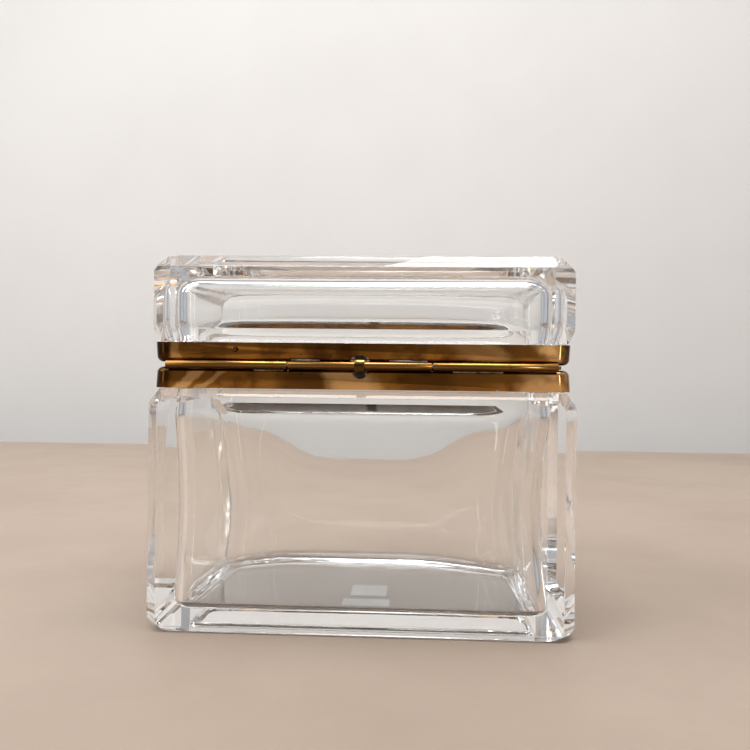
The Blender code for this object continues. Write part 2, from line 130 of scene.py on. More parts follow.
class Bench:
    """Modelling by hand: each tool works on one object, with nothing else selected."""

    @staticmethod
    def pick(obj: bpy.types.Object) -> None:
        """Select one object and make it the active one."""
        bpy.ops.object.select_all(action="DESELECT")
        obj.select_set(True)
        bpy.context.view_layer.objects.active = obj

    @staticmethod
    def settle(obj: bpy.types.Object) -> None:
        """Put the object's place, turn and size into its mesh."""
        Bench.pick(obj)
        bpy.ops.object.transform_apply(location=True, rotation=True, scale=True)

    @staticmethod
    @contextmanager
    def editing(obj: bpy.types.Object) -> Iterator[None]:
        """Work on the object in edit mode."""
        Bench.pick(obj)
        bpy.ops.object.mode_set(mode="EDIT")
        yield
        bpy.ops.object.mode_set(mode="OBJECT")

    @staticmethod
    def named(name: str) -> bpy.types.Object:
        """Name the object that was just added, and settle it."""
        obj = bpy.context.object
        obj.name = name
        obj.data.name = name
        Bench.settle(obj)
        return obj

    @staticmethod
    def block(name: str, low: Point, high: Point) -> bpy.types.Object:
        """Add a cube at its size and place.

        Args:
            name: the object's name.
            low: its lowest corner.
            high: its highest corner.

        Returns:
            The new object.
        """
        low, high = Vector(low), Vector(high)
        bpy.ops.object.select_all(action="DESELECT")
        bpy.ops.mesh.primitive_cube_add(size=1.0, location=(low + high) / 2)
        bpy.context.object.scale = high - low
        return Bench.named(name)

    @staticmethod
    def bar(name: str, radius: float, start: Point, end: Point,
            sides: int = 48) -> bpy.types.Object:
        """Add a round bar between two points.

        Args:
            name: the object's name.
            radius: the bar's radius.
            start: the middle of one end.
            end: the middle of the other end.
            sides: how many flats the round has.

        Returns:
            The new object.
        """
        start, end = Vector(start), Vector(end)
        along = end - start
        bpy.ops.object.select_all(action="DESELECT")
        bpy.ops.mesh.primitive_cylinder_add(vertices=sides, radius=radius, depth=along.length,
                                            location=(start + end) / 2,
                                            rotation=along.to_track_quat("Z", "X").to_euler())
        return Bench.named(name)

    @staticmethod
    def _select(obj: bpy.types.Object, kind: str, elements: str,
                test: Callable[..., bool]) -> None:
        """Select what passes a test, in edit mode.

        Args:
            obj: the object in edit mode.
            kind: the select mode: VERT, EDGE or FACE.
            elements: what such elements are called in a mesh.
            test: says whether one of them is wanted.
        """
        bpy.ops.mesh.select_mode(type=kind)
        bpy.ops.mesh.select_all(action="DESELECT")
        mesh = bmesh.from_edit_mesh(obj.data)
        for element in [each for each in getattr(mesh, elements) if test(each)]:
            element.select_set(True)
        bmesh.update_edit_mesh(obj.data)

    @staticmethod
    def select_edges(obj: bpy.types.Object, test: Callable[[bmesh.types.BMEdge], bool]) -> None:
        """Select the edges that pass a test, in edit mode."""
        Bench._select(obj, "EDGE", "edges", test)

    @staticmethod
    def select_faces(obj: bpy.types.Object, test: Callable[[bmesh.types.BMFace], bool]) -> None:
        """Select the faces that pass a test, in edit mode."""
        Bench._select(obj, "FACE", "faces", test)

    @staticmethod
    def select_verts(obj: bpy.types.Object, test: Callable[[bmesh.types.BMVert], bool]) -> None:
        """Select the corners that pass a test, in edit mode."""
        Bench._select(obj, "VERT", "verts", test)

    @staticmethod
    def slice_at(point: Point, normal: Point, grind: bool = False) -> None:
        """Cut the whole mesh by a plane, in edit mode.

        Args:
            point: a point on the plane.
            normal: the plane's normal.
            grind: take away what lies on the normal's side, and close the cut.
        """
        bpy.ops.mesh.select_all(action="SELECT")
        bpy.ops.mesh.bisect(plane_co=point, plane_no=normal, use_fill=grind, clear_outer=grind,
                            clear_inner=False, threshold=WELD)

    @staticmethod
    def round_selected(radius: float, segments: int) -> None:
        """Round or chamfer the selected edges, in edit mode."""
        bpy.ops.mesh.bevel(offset=radius, offset_type="OFFSET", segments=segments, profile=0.5,
                           affect="EDGES", clamp_overlap=True)

    @staticmethod
    def apply(obj: bpy.types.Object, kind: str, **settings: object) -> None:
        """Add a modifier with its settings and apply it."""
        Bench.pick(obj)
        modifier = obj.modifiers.new(kind.lower(), kind)
        for name, value in settings.items():
            setattr(modifier, name, value)
        bpy.ops.object.modifier_apply(modifier=modifier.name)

    @staticmethod
    def combine(obj: bpy.types.Object, tool: bpy.types.Object,
                operation: str = "DIFFERENCE") -> None:
        """Cut or join an object with a tool, which is then removed."""
        Bench.apply(obj, "BOOLEAN", operation=operation, object=tool, solver="EXACT",
                    material_mode="INDEX")
        bpy.data.objects.remove(tool, do_unlink=True)

    @staticmethod
    def ease_edges(obj: bpy.types.Object, width: float = BROKEN_EDGE) -> None:
        """Break the sharp edges, and leave the flats flat."""
        Bench.apply(obj, "BEVEL", width=width, segments=2, limit_method="ANGLE",
                    angle_limit=math.radians(35.0), harden_normals=False, use_clamp_overlap=True,
                    miter_outer="MITER_ARC")

    @staticmethod
    def cage(obj: bpy.types.Object, push: Callable[[Vector], Vector],
             points: tuple[int, int, int]) -> None:
        """Press a form into shape with a lattice round it.

        Args:
            obj: the object.
            push: gives the shift at a place.
            points: how many lattice points lie along X, Y and Z.
        """
        Bench.pick(obj)
        corners = [Vector(corner) for corner in obj.bound_box]
        low, high = corners[0], corners[6]
        bpy.ops.object.add(type="LATTICE", location=(low + high) / 2)
        frame_round = bpy.context.object
        frame_round.scale = high - low
        lattice = frame_round.data
        lattice.points_u, lattice.points_v, lattice.points_w = points
        for way in ("u", "v", "w"):
            setattr(lattice, f"interpolation_type_{way}", "KEY_CATMULL_ROM")
        for point in lattice.points:
            place = (low + high) / 2 + point.co * (high - low)
            shift = push(place)
            point.co_deform = point.co + Vector(a / b for a, b in zip(shift, high - low))
        Bench.apply(obj, "LATTICE", object=frame_round)
        bpy.data.objects.remove(frame_round, do_unlink=True)

    @staticmethod
    def shade(obj: bpy.types.Object, angle: float = 30.0) -> None:
        """Shade round faces smooth, and keep edges over an angle sharp."""
        Bench.pick(obj)
        bpy.ops.object.shade_smooth_by_angle(angle=math.radians(angle))

    @staticmethod
    def put_right(obj: bpy.types.Object) -> None:
        """Merge doubles and turn the faces outwards."""
        with Bench.editing(obj):
            bpy.ops.mesh.select_all(action="SELECT")
            bpy.ops.mesh.remove_doubles(threshold=WELD)
            bpy.ops.mesh.normals_make_consistent(inside=False)


def is_upright(edge: bmesh.types.BMEdge) -> bool:
    """True for an edge that runs along Z."""
    run = edge.verts[0].co - edge.verts[1].co
    return run.to_2d().length < abs(run.z) * 0.2


def is_at_height(edge: bmesh.types.BMEdge, z: float) -> bool:
    """True for an edge that lies at height z."""
    return all(abs(vert.co.z - z) < NEAR for vert in edge.verts)


def rounded_block(name: str, half: tuple[float, float], z: tuple[float, float], corner: float,
                  segments: int = 8) -> bpy.types.Object:
    """Model a block about the Z axis with rounded upright corners.

    Args:
        name: the object's name.
        half: half its length and half its depth.
        z: its bottom and its top.
        corner: the radius of the upright corners.
        segments: how finely they are rounded.

    Returns:
        The new object.
    """
    obj = Bench.block(name, (-half[0], -half[1], min(z)), (half[0], half[1], max(z)))
    with Bench.editing(obj):
        Bench.select_edges(obj, is_upright)
        Bench.round_selected(corner, segments)
    return obj


# ---------------------------------------------------------------- node trees


class Graph:
    """Adds nodes to one node tree and joins them."""

    def __init__(self, tree: bpy.types.NodeTree) -> None:
        """Keep the tree that is worked on."""
        self.tree = tree

    def feed(self, target: bpy.types.NodeSocket, value: Value) -> None:
        """Join a socket to a target, or set the target's own value."""
        if isinstance(value, bpy.types.NodeSocket):
            self.tree.links.new(value, target)
        else:
            target.default_value = value

    def node(self, kind: str, inputs: Optional[dict[Union[str, int], Value]] = None,
             **settings: object) -> bpy.types.Node:
        """Add a node.

        Args:
            kind: the node's type, without the ShaderNode prefix.
            inputs: what goes into its sockets, by name or by number.
            settings: its own properties.

        Returns:
            The new node.
        """
        made = self.tree.nodes.new(f"ShaderNode{kind}")
        for name, value in settings.items():
            setattr(made, name, value)
        for name, value in (inputs or {}).items():
            self.feed(made.inputs[name], value)
        return made

    def math(self, operation: str, first: Value, second: Value = 0.0) -> bpy.types.NodeSocket:
        """Work out one sum, kept between 0 and 1 only where the operation does so."""
        return self.node("Math", {0: first, 1: second}, operation=operation).outputs[0]

    def mix(self, factor: Value, first: Value, second: Value) -> bpy.types.NodeSocket:
        """Mix two colours."""
        made = self.node("Mix", data_type="RGBA")
        for number, value in ((0, factor), (6, first), (7, second)):
            self.feed(made.inputs[number], value)
        return made.outputs[2]

    def fit(self, value: Value, source: tuple[Value, Value], target: tuple[Value, Value],
            smooth: bool = False) -> bpy.types.NodeSocket:
        """Map a value from one range to another, clamped."""
        kind = "SMOOTHSTEP" if smooth else "LINEAR"
        return self.node("MapRange", {0: value, 1: source[0], 2: source[1], 3: target[0],
                                      4: target[1]}, interpolation_type=kind).outputs[0]

    def group(self, tree: bpy.types.NodeTree, **inputs: Value) -> bpy.types.Node:
        """Place an effect in this tree, with its own values."""
        made = self.tree.nodes.new("ShaderNodeGroup")
        made.node_tree = tree
        for name, value in inputs.items():
            self.feed(made.inputs[name.replace("_", " ").capitalize()], value)
        return made


class Effects:
    """Surface effects that several materials share, each one node group built once."""

    _made: dict[str, bpy.types.NodeTree] = {}

    @classmethod
    def _group(cls, name: str, inputs: dict[str, float], outputs: Sequence[str],
               wire: Wiring) -> bpy.types.NodeTree:
        """Find a node group, or build it the first time.

        Args:
            name: the group's name.
            inputs: its number sockets with their usual values; a Vector comes first by itself.
            outputs: the names of its number outputs.
            wire: makes the nodes from the group's input sockets, and gives what goes out.

        Returns:
            The group.
        """
        if name in cls._made:
            return cls._made[name]
        tree = bpy.data.node_groups.new(name, "ShaderNodeTree")
        tree.interface.new_socket("Vector", in_out="INPUT", socket_type="NodeSocketVector")
        for socket, value in inputs.items():
            made = tree.interface.new_socket(socket, in_out="INPUT", socket_type="NodeSocketFloat")
            made.default_value = value
        for socket in outputs:
            tree.interface.new_socket(socket, in_out="OUTPUT", socket_type="NodeSocketFloat")
        graph = Graph(tree)
        enter = tree.nodes.new("NodeGroupInput")
        leave = tree.nodes.new("NodeGroupOutput")
        given = {socket.name: socket for socket in enter.outputs if socket.name}
        for socket, value in zip(outputs, wire(graph, given)):
            graph.feed(leave.inputs[socket], value)
        cls._made[name] = tree
        return tree

    @classmethod
    def mottle(cls) -> bpy.types.NodeTree:
        """Soft uneven patches: Mask is 0 below Low and 1 above High."""
        def wire(graph: Graph, given: dict) -> Sequence[bpy.types.NodeSocket]:
            """Cut a noise between two levels."""
            noise = graph.node("TexNoise", {"Vector": given["Vector"], "Scale": given["Scale"],
                                            "Detail": given["Detail"], "Roughness": 0.6})
            return (graph.fit(noise.outputs["Fac"], (given["Low"], given["High"]), (0.0, 1.0),
                              True),)

        return cls._group("mottle", {"Scale": 60.0, "Detail": 4.0, "Low": 0.4, "High": 0.6},
                          ("Mask",), wire)

    @classmethod
    def streaks(cls) -> bpy.types.NodeTree:
        """Fine drawn lines along X: Height for a bump, and Mask for the deeper ones."""
        def wire(graph: Graph, given: dict) -> Sequence[bpy.types.NodeSocket]:
            """Draw a noise out along X."""
            squeeze = graph.node("CombineXYZ", {0: given["Stretch"], 1: 1.0, 2: 1.0})
            place = graph.node("Mapping", {"Vector": given["Vector"],
                                           "Scale": squeeze.outputs[0]})
            noise = graph.node("TexNoise", {"Vector": place.outputs[0], "Scale": given["Scale"],
                                            "Detail": 3.0, "Roughness": 0.7})
            return noise.outputs["Fac"], graph.fit(noise.outputs["Fac"], (0.62, 0.7), (0.0, 1.0))

        return cls._group("streaks", {"Scale": 900.0, "Stretch": 0.03}, ("Height", "Mask"), wire)

    @classmethod
    def height_band(cls) -> bpy.types.NodeTree:
        """A band across the height: Mask rises from 0 at Start to 1 at End, along Z."""
        def wire(graph: Graph, given: dict) -> Sequence[bpy.types.NodeSocket]:
            """Compare the height with both ends."""
            parts = graph.node("SeparateXYZ", {0: given["Vector"]})
            return (graph.fit(parts.outputs["Z"], (given["Start"], given["End"]), (0.0, 1.0),
                              True),)

        return cls._group("height_band", {"Start": 0.0, "End": 1.0}, ("Mask",), wire)

    @classmethod
    def specks(cls) -> bpy.types.NodeTree:
        """Small scattered spots and pits: Mask is 1 inside a spot of the given Size."""
        def wire(graph: Graph, given: dict) -> Sequence[bpy.types.NodeSocket]:
            """Keep a share of the cells, and a spot in the middle of each one."""
            cells = graph.node("TexVoronoi", {"Vector": given["Vector"], "Scale": given["Scale"]})
            spot = graph.math("LESS_THAN", cells.outputs["Distance"], given["Size"])
            parts = graph.node("SeparateColor", {0: cells.outputs["Color"]})
            chosen = graph.math("LESS_THAN", parts.outputs[0], given["Share"])
            return (graph.math("MULTIPLY", spot, chosen),)

        return cls._group("specks", {"Scale": 400.0, "Size": 0.12, "Share": 0.3}, ("Mask",), wire)

    @classmethod
    def stripe(cls) -> bpy.types.NodeTree:
        """A soft, ragged upright stripe: Mask is 1 at Middle and 0 beyond Half on either side."""
        def wire(graph: Graph, given: dict) -> Sequence[bpy.types.NodeSocket]:
            """Measure how far a place is from the stripe's ragged, leaning middle line."""
            parts = graph.node("SeparateXYZ", {0: given["Vector"]})
            noise = graph.node("TexNoise", {"Vector": given["Vector"], "Scale": 210.0,
                                            "Detail": 3.0})
            ragged = graph.math("MULTIPLY", graph.math("SUBTRACT", noise.outputs["Fac"], 0.5),
                                0.006)
            leaning = graph.math("MULTIPLY", parts.outputs["Z"], given["Slant"])
            place = graph.math("ADD", graph.math("ADD", parts.outputs["X"], ragged), leaning)
            off = graph.math("ABSOLUTE", graph.math("SUBTRACT", place, given["Middle"]))
            core = graph.math("MULTIPLY", given["Half"], 0.4)
            return (graph.fit(off, (given["Half"], core), (0.0, 1.0), True),)

        return cls._group("stripe", {"Middle": 0.0, "Half": 0.005, "Slant": 0.0}, ("Mask",), wire)


def start_material(name: str) -> tuple[bpy.types.Material, Graph, bpy.types.Node,
                                       bpy.types.NodeSocket]:
    """Start a material.

    Args:
        name: the material's name.

    Returns:
        The material, a graph on it, its shader, and the object's own coordinates.
    """
    material = bpy.data.materials.new(name)
    material.use_nodes = True
    graph = Graph(material.node_tree)
    shader = material.node_tree.nodes["Principled BSDF"]
    place = graph.node("TexCoord").outputs["Object"]
    return material, graph, shader, place


# ---------------------------------------------------------------- finishes


@dataclass(frozen=True)
class CrystalFinish:
    """Clear lead crystal, cut and polished outside or fire-polished inside."""

    name: str
    ripple: float             # height of the slow waves in the surface
    ripple_scale: float
    smear: float              # roughness of the handled patches
    tint: Colour = (0.985, 0.992, 0.992, 1.0)

    def material(self) -> bpy.types.Material:
        """Build the material."""
        material, graph, shader, place = start_material(self.name)
        smears = graph.group(Effects.mottle(), vector=place, scale=34.0, detail=5.0, low=0.5,
                             high=0.78).outputs["Mask"]
        lines = graph.group(Effects.streaks(), vector=place, scale=1500.0, stretch=0.05)
        specks = graph.group(Effects.specks(), vector=place, scale=260.0, size=0.05, share=0.12)
        dull = graph.math("MULTIPLY", smears, self.smear)
        dull = graph.math("ADD", dull, graph.math("MULTIPLY", specks.outputs["Mask"], 0.25))
        graph.feed(shader.inputs["Roughness"], dull)
        graph.feed(shader.inputs["Base Color"], graph.mix(
            specks.outputs["Mask"], self.tint, (0.80, 0.79, 0.76, 1.0)))
        wave = graph.node("TexNoise", {"Vector": place, "Scale": self.ripple_scale, "Detail": 1.5})
        slow = graph.node("Bump", {"Height": wave.outputs["Fac"], "Strength": 1.0,
                                   "Distance": self.ripple})
        fine = graph.node("Bump", {"Height": lines.outputs["Mask"], "Strength": 0.06,
                                   "Distance": 0.00002, "Normal": slow.outputs["Normal"]})
        graph.feed(shader.inputs["Normal"], fine.outputs["Normal"])
        shader.inputs["Transmission Weight"].default_value = 1.0
        shader.inputs["IOR"].default_value = 1.545
        return material


class Tone(Enum):
    """A painted highlight or a painted shade laid on a stretch of brass."""

    # painted highlight: bright gold that stands in for reflected light
    RUBBED = (0.98, 0.62, 0.27, 1.0)
    # painted shade: near black that stands in for shade and dark reflections
    SOOTY = (0.022, 0.009, 0.004, 1.0)


@dataclass(frozen=True)
class Mark:
    """A stretch of brass with a painted highlight or a painted shade."""

    tone: Tone
    x: float                  # its middle at the edge that meets the glass
    half: float               # half its width
    strength: float = 0.8
    slant: float = 0.0        # how far it leans towards -X, per metre up


@dataclass(frozen=True)
class BrassFinish:
    """Old brass: gold mottled with brown tarnish, with painted highlights and painted shade, and
    traces at the glass edge.
    """

    name: str
    tarnish: float            # share of the surface that has gone brown
    wave: float = 0.0006      # height of the dents of hand work
    glass_edge: float = 0.0   # height of the edge that meets the glass; 0 for none
    way: Way = Way.UP         # from that edge into the brass
    verdigris: float = 0.0
    plaster: float = 0.0
    painted_shade: Optional[tuple[float, float]] = None     # heights where the painted shade is full, and where it ends
    # marks: painted highlights and painted shade, each in an upright stripe
    marks: tuple[Mark, ...] = ()
    gold: Colour = (0.40, 0.185, 0.038, 1.0)
    brown: Colour = (0.085, 0.030, 0.008, 1.0)

    def material(self) -> bpy.types.Material:
        """Build the material."""
        material, graph, shader, place = start_material(self.name)
        patches = graph.group(Effects.mottle(), vector=place, scale=95.0, detail=6.0,
                              low=0.62 - 0.3 * self.tarnish, high=0.85 - 0.25 * self.tarnish)
        clouds = graph.group(Effects.mottle(), vector=place, scale=28.0, detail=2.0, low=0.42,
                             high=0.66)
        lines = graph.group(Effects.streaks(), vector=place, scale=1100.0, stretch=0.04)
        pits = graph.group(Effects.specks(), vector=place, scale=520.0, size=0.16, share=0.14)
        browned = graph.math("MAXIMUM", graph.math("MULTIPLY", patches.outputs[0], 0.8),
                             graph.math("MULTIPLY", clouds.outputs[0], 0.35))
        colour = graph.mix(browned, self.gold, self.brown)
        colour = graph.mix(graph.math("MULTIPLY", lines.outputs["Mask"], 0.35), colour,
                           (0.70, 0.47, 0.20, 1.0))
        colour = graph.mix(pits.outputs["Mask"], colour, (0.045, 0.022, 0.012, 1.0))
        # painted highlights and painted shade, each in a soft upright stripe
        for mark in self.marks:
            stripe = graph.group(Effects.stripe(), vector=place,
                                 middle=mark.x + mark.slant * self.glass_edge,
                                 half=mark.half, slant=mark.slant)
            colour = graph.mix(graph.math("MULTIPLY", stripe.outputs["Mask"], mark.strength),
                               colour, mark.tone.value)
        # painted shade: darker across a band of height
        if self.painted_shade:
            dark = graph.group(Effects.height_band(), vector=place, start=self.painted_shade[1],
                               end=self.painted_shade[0]).outputs["Mask"]
            colour = graph.mix(graph.math("MULTIPLY", dark, 0.85), colour, Tone.SOOTY.value)
        metal = 1.0
        rough = graph.fit(browned, (0.0, 1.0), (0.12, 0.34))
        if self.glass_edge:
            colour, metal, rough = self._traces(graph, place, colour, rough)
        graph.feed(shader.inputs["Base Color"], colour)
        graph.feed(shader.inputs["Metallic"], metal)
        graph.feed(shader.inputs["Roughness"], rough)
        graph.feed(shader.inputs["Normal"], self._relief(graph, place, lines, pits))
        return material

    def _traces(self, graph: Graph, place: bpy.types.NodeSocket, colour: Value,
                rough: Value) -> tuple[Value, Value, Value]:
        """Lay verdigris and old plaster along the edge that meets the glass.

        Args:
            graph: the material's graph.
            place: the coordinates.
            colour: the colour so far.
            rough: the roughness so far.

        Returns:
            The colour, the metallic value and the roughness with the traces on them.
        """
        reach = self.glass_edge + self.way.value * 0.0011
        near = graph.group(Effects.height_band(), vector=place, start=reach,
                           end=self.glass_edge + self.way.value * 0.0002).outputs["Mask"]
        metal: Value = 1.0
        for amount, scale, tint in ((self.verdigris, 260.0, (0.045, 0.16, 0.12, 1.0)),
                                    (self.plaster, 130.0, (0.60, 0.56, 0.48, 1.0))):
            if not amount:
                continue
            crumbs = graph.group(Effects.mottle(), vector=place, scale=scale, detail=8.0,
                                 low=0.72 - 0.22 * amount, high=0.80 - 0.22 * amount)
            mask = graph.math("MULTIPLY", crumbs.outputs[0], near)
            colour = graph.mix(mask, colour, tint)
            rough = graph.math("MAXIMUM", rough, graph.math("MULTIPLY", mask, 0.85))
            metal = graph.math("SUBTRACT", metal, mask)
        return colour, metal, rough

    def _relief(self, graph: Graph, place: bpy.types.NodeSocket, lines: bpy.types.Node,
                pits: bpy.types.Node) -> bpy.types.NodeSocket:
        """Dents, drawn lines and pits.

        Args:
            graph: the material's graph.
            place: the coordinates.
            lines: the drawn lines.
            pits: the pits.

        Returns:
            The normal.
        """
        long_dents = graph.node("Mapping", {"Vector": place, "Scale": (0.45, 1.0, 1.0)})
        dents = graph.node("TexNoise", {"Vector": long_dents.outputs[0], "Scale": 75.0,
                                        "Detail": 1.0})
        first = graph.node("Bump", {"Height": dents.outputs["Fac"], "Strength": 1.0,
                                    "Distance": self.wave})
        second = graph.node("Bump", {"Height": lines.outputs["Height"], "Strength": 0.12,
                                     "Distance": 0.00004, "Normal": first.outputs["Normal"]})
        third = graph.node("Bump", {"Height": pits.outputs["Mask"], "Strength": 0.5,
                                    "Distance": 0.00006, "Normal": second.outputs["Normal"]},
                           invert=True)
        return third.outputs["Normal"]


@dataclass(frozen=True)
class SteelFinish:
    """Old dark steel wire."""

    name: str

    def material(self) -> bpy.types.Material:
        """Build the material."""
        material, graph, shader, place = start_material(self.name)
        rust = graph.group(Effects.mottle(), vector=place, scale=600.0, detail=5.0, low=0.45,
                           high=0.65)
        lines = graph.group(Effects.streaks(), vector=place, scale=1400.0, stretch=0.1)
        graph.feed(shader.inputs["Base Color"], graph.mix(
            rust.outputs[0], (0.22, 0.19, 0.18, 1.0), (0.10, 0.045, 0.03, 1.0)))
        graph.feed(shader.inputs["Roughness"], graph.fit(rust.outputs[0], (0.0, 1.0), (0.22, 0.55)))
        shader.inputs["Metallic"].default_value = 1.0
        bump = graph.node("Bump", {"Height": lines.outputs["Height"], "Strength": 0.2,
                                   "Distance": 0.00003})
        graph.feed(shader.inputs["Normal"], bump.outputs["Normal"])
        return material


@dataclass(frozen=True)
class ChalkFinish:
    """A dull, dry surface: plaster, solder, paper or the studio's floor and wall."""

    name: str
    light: Colour
    dark: Colour
    scale: float
    roughness: float
    relief: float
    metallic: float = 0.0
    notch_shade: float = 0.0                 # half width of the painted shade in the notches; 0 for none

    def material(self) -> bpy.types.Material:
        """Build the material."""
        material, graph, shader, place = start_material(self.name)
        patches = graph.group(Effects.mottle(), vector=place, scale=self.scale, detail=6.0,
                              low=0.35, high=0.68)
        colour = graph.mix(patches.outputs[0], self.light, self.dark)
        # painted shade: a dark stripe down the middle, in the notches
        if self.notch_shade:
            stripe = graph.group(Effects.stripe(), vector=place, middle=0.0, half=self.notch_shade)
            colour = graph.mix(stripe.outputs["Mask"], colour, (0.035, 0.022, 0.014, 1.0))
        graph.feed(shader.inputs["Base Color"], colour)
        graph.feed(shader.inputs["Roughness"], graph.fit(
            patches.outputs[0], (0.0, 1.0), (self.roughness, min(1.0, self.roughness * 1.15))))
        shader.inputs["Metallic"].default_value = self.metallic
        bump = graph.node("Bump", {"Height": patches.outputs[0], "Strength": 0.6,
                                   "Distance": self.relief})
        graph.feed(shader.inputs["Normal"], bump.outputs["Normal"])
        return material


# ---------------------------------------------------------------- pieces


@dataclass
class SubAssembly:
    """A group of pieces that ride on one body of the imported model."""

    body: str = "root"

    def hand_over(self, obj: bpy.types.Object, slot: str, *nodes: str,
                  materials: Sequence[bpy.types.Material] = ()) -> None:
        """Dress a finished piece and put it in the place of its nodes.

        Args:
            obj: the finished piece.
            slot: the record's material slot; not used.
            nodes: the nodes that it stands for.
            materials: its materials, where it has none yet.
        """
        if materials:
            obj.data.materials.clear()
            for material in materials:
                obj.data.materials.append(material)
        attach(obj, self.body)
        if nodes:
            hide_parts(*nodes)
        LOG.info("made %s: %d faces, on body %s", obj.name, len(obj.data.polygons), self.body)


def rounded(radius: float, steps: int = 6) -> tuple[tuple[float, float], ...]:
    """Facets that follow a quarter round, as (height, inset) of each one."""
    turn = math.pi / 2 / steps
    return tuple((radius * (1 - math.sin(turn * i)), radius * (1 - math.cos(turn * (i + 1))))
                 for i in range(steps))


@dataclass(frozen=True)
class Facets:
    """Sloping facets round one end of a block, each one as (height, inset)."""

    long_side: tuple[tuple[float, float], ...]
    end: tuple[tuple[float, float], ...]
    corner: tuple[tuple[float, float], ...]

    def on(self, direction: Vector) -> tuple[tuple[float, float], ...]:
        """The facets on the side that faces a direction."""
        if abs(direction.x) < 0.1:
            return self.long_side
        return self.end if abs(direction.y) < 0.1 else self.corner


def ease(value: float, start: float, end: float) -> float:
    """Rise smoothly from 0 at start to 1 at end."""
    part = min(1.0, max(0.0, (value - start) / (end - start)))
    return part * part * (3 - 2 * part)


@dataclass(frozen=True)
class Pressing:
    """How the hollow's walls stray from flat, measured from its closed end towards its mouth."""

    length: float                     # how far the bowed part of the walls reaches
    left_bow: float                   # how far the left end wall bows in halfway up
    right_bow: float
    corner_bow: float                 # the same for the front and back walls near the corners
    lean: float                       # how far their middle leans in by the throat
    throat: float                     # height of the ridge below the neck
    throat_at: float
    throat_width: float
    throat_reach: float               # how far along the wall the ridge runs
    plain_from: float = 0.3           # where the corners start, as a share of half the length

    def shift(self, place: Vector, half: tuple[float, float], rise: float) -> Vector:
        """Work out how far a place on the hollow moves.

        Args:
            place: the place, about the middle of the box.
            half: the hollow's half length and half depth.
            rise: how far the place is from the closed end.

        Returns:
            The shift.
        """
        along, across = place.x / half[0], place.y / half[1]
        bow = math.sin(math.pi * min(1.0, max(0.0, rise / self.length)))
        near_corner = ease(abs(along), self.plain_from, 0.85)
        near_mouth = 1 - ease(rise, self.throat_at + 0.004, self.throat_at + 0.008)
        lean = self.lean * ease(rise, 0.3 * self.throat_at, 1.15 * self.throat_at)
        ridge = self.throat * math.exp(-(((rise - self.throat_at) / self.throat_width) ** 2))
        on_face = 1 - ease(abs(place.x), self.throat_reach, self.throat_reach + 0.009)
        side = self.left_bow if place.x < 0 else self.right_bow
        inward_x = side * bow * abs(along) ** 3 + 0.5 * ridge * abs(along) ** 6
        inward_y = (self.corner_bow * bow ** 2 * near_corner + ridge * on_face
                    + lean * (1 - near_corner)) * abs(across)
        return Vector((-math.copysign(inward_x, place.x), -math.copysign(inward_y, place.y), 0.0)
                      ) * near_mouth


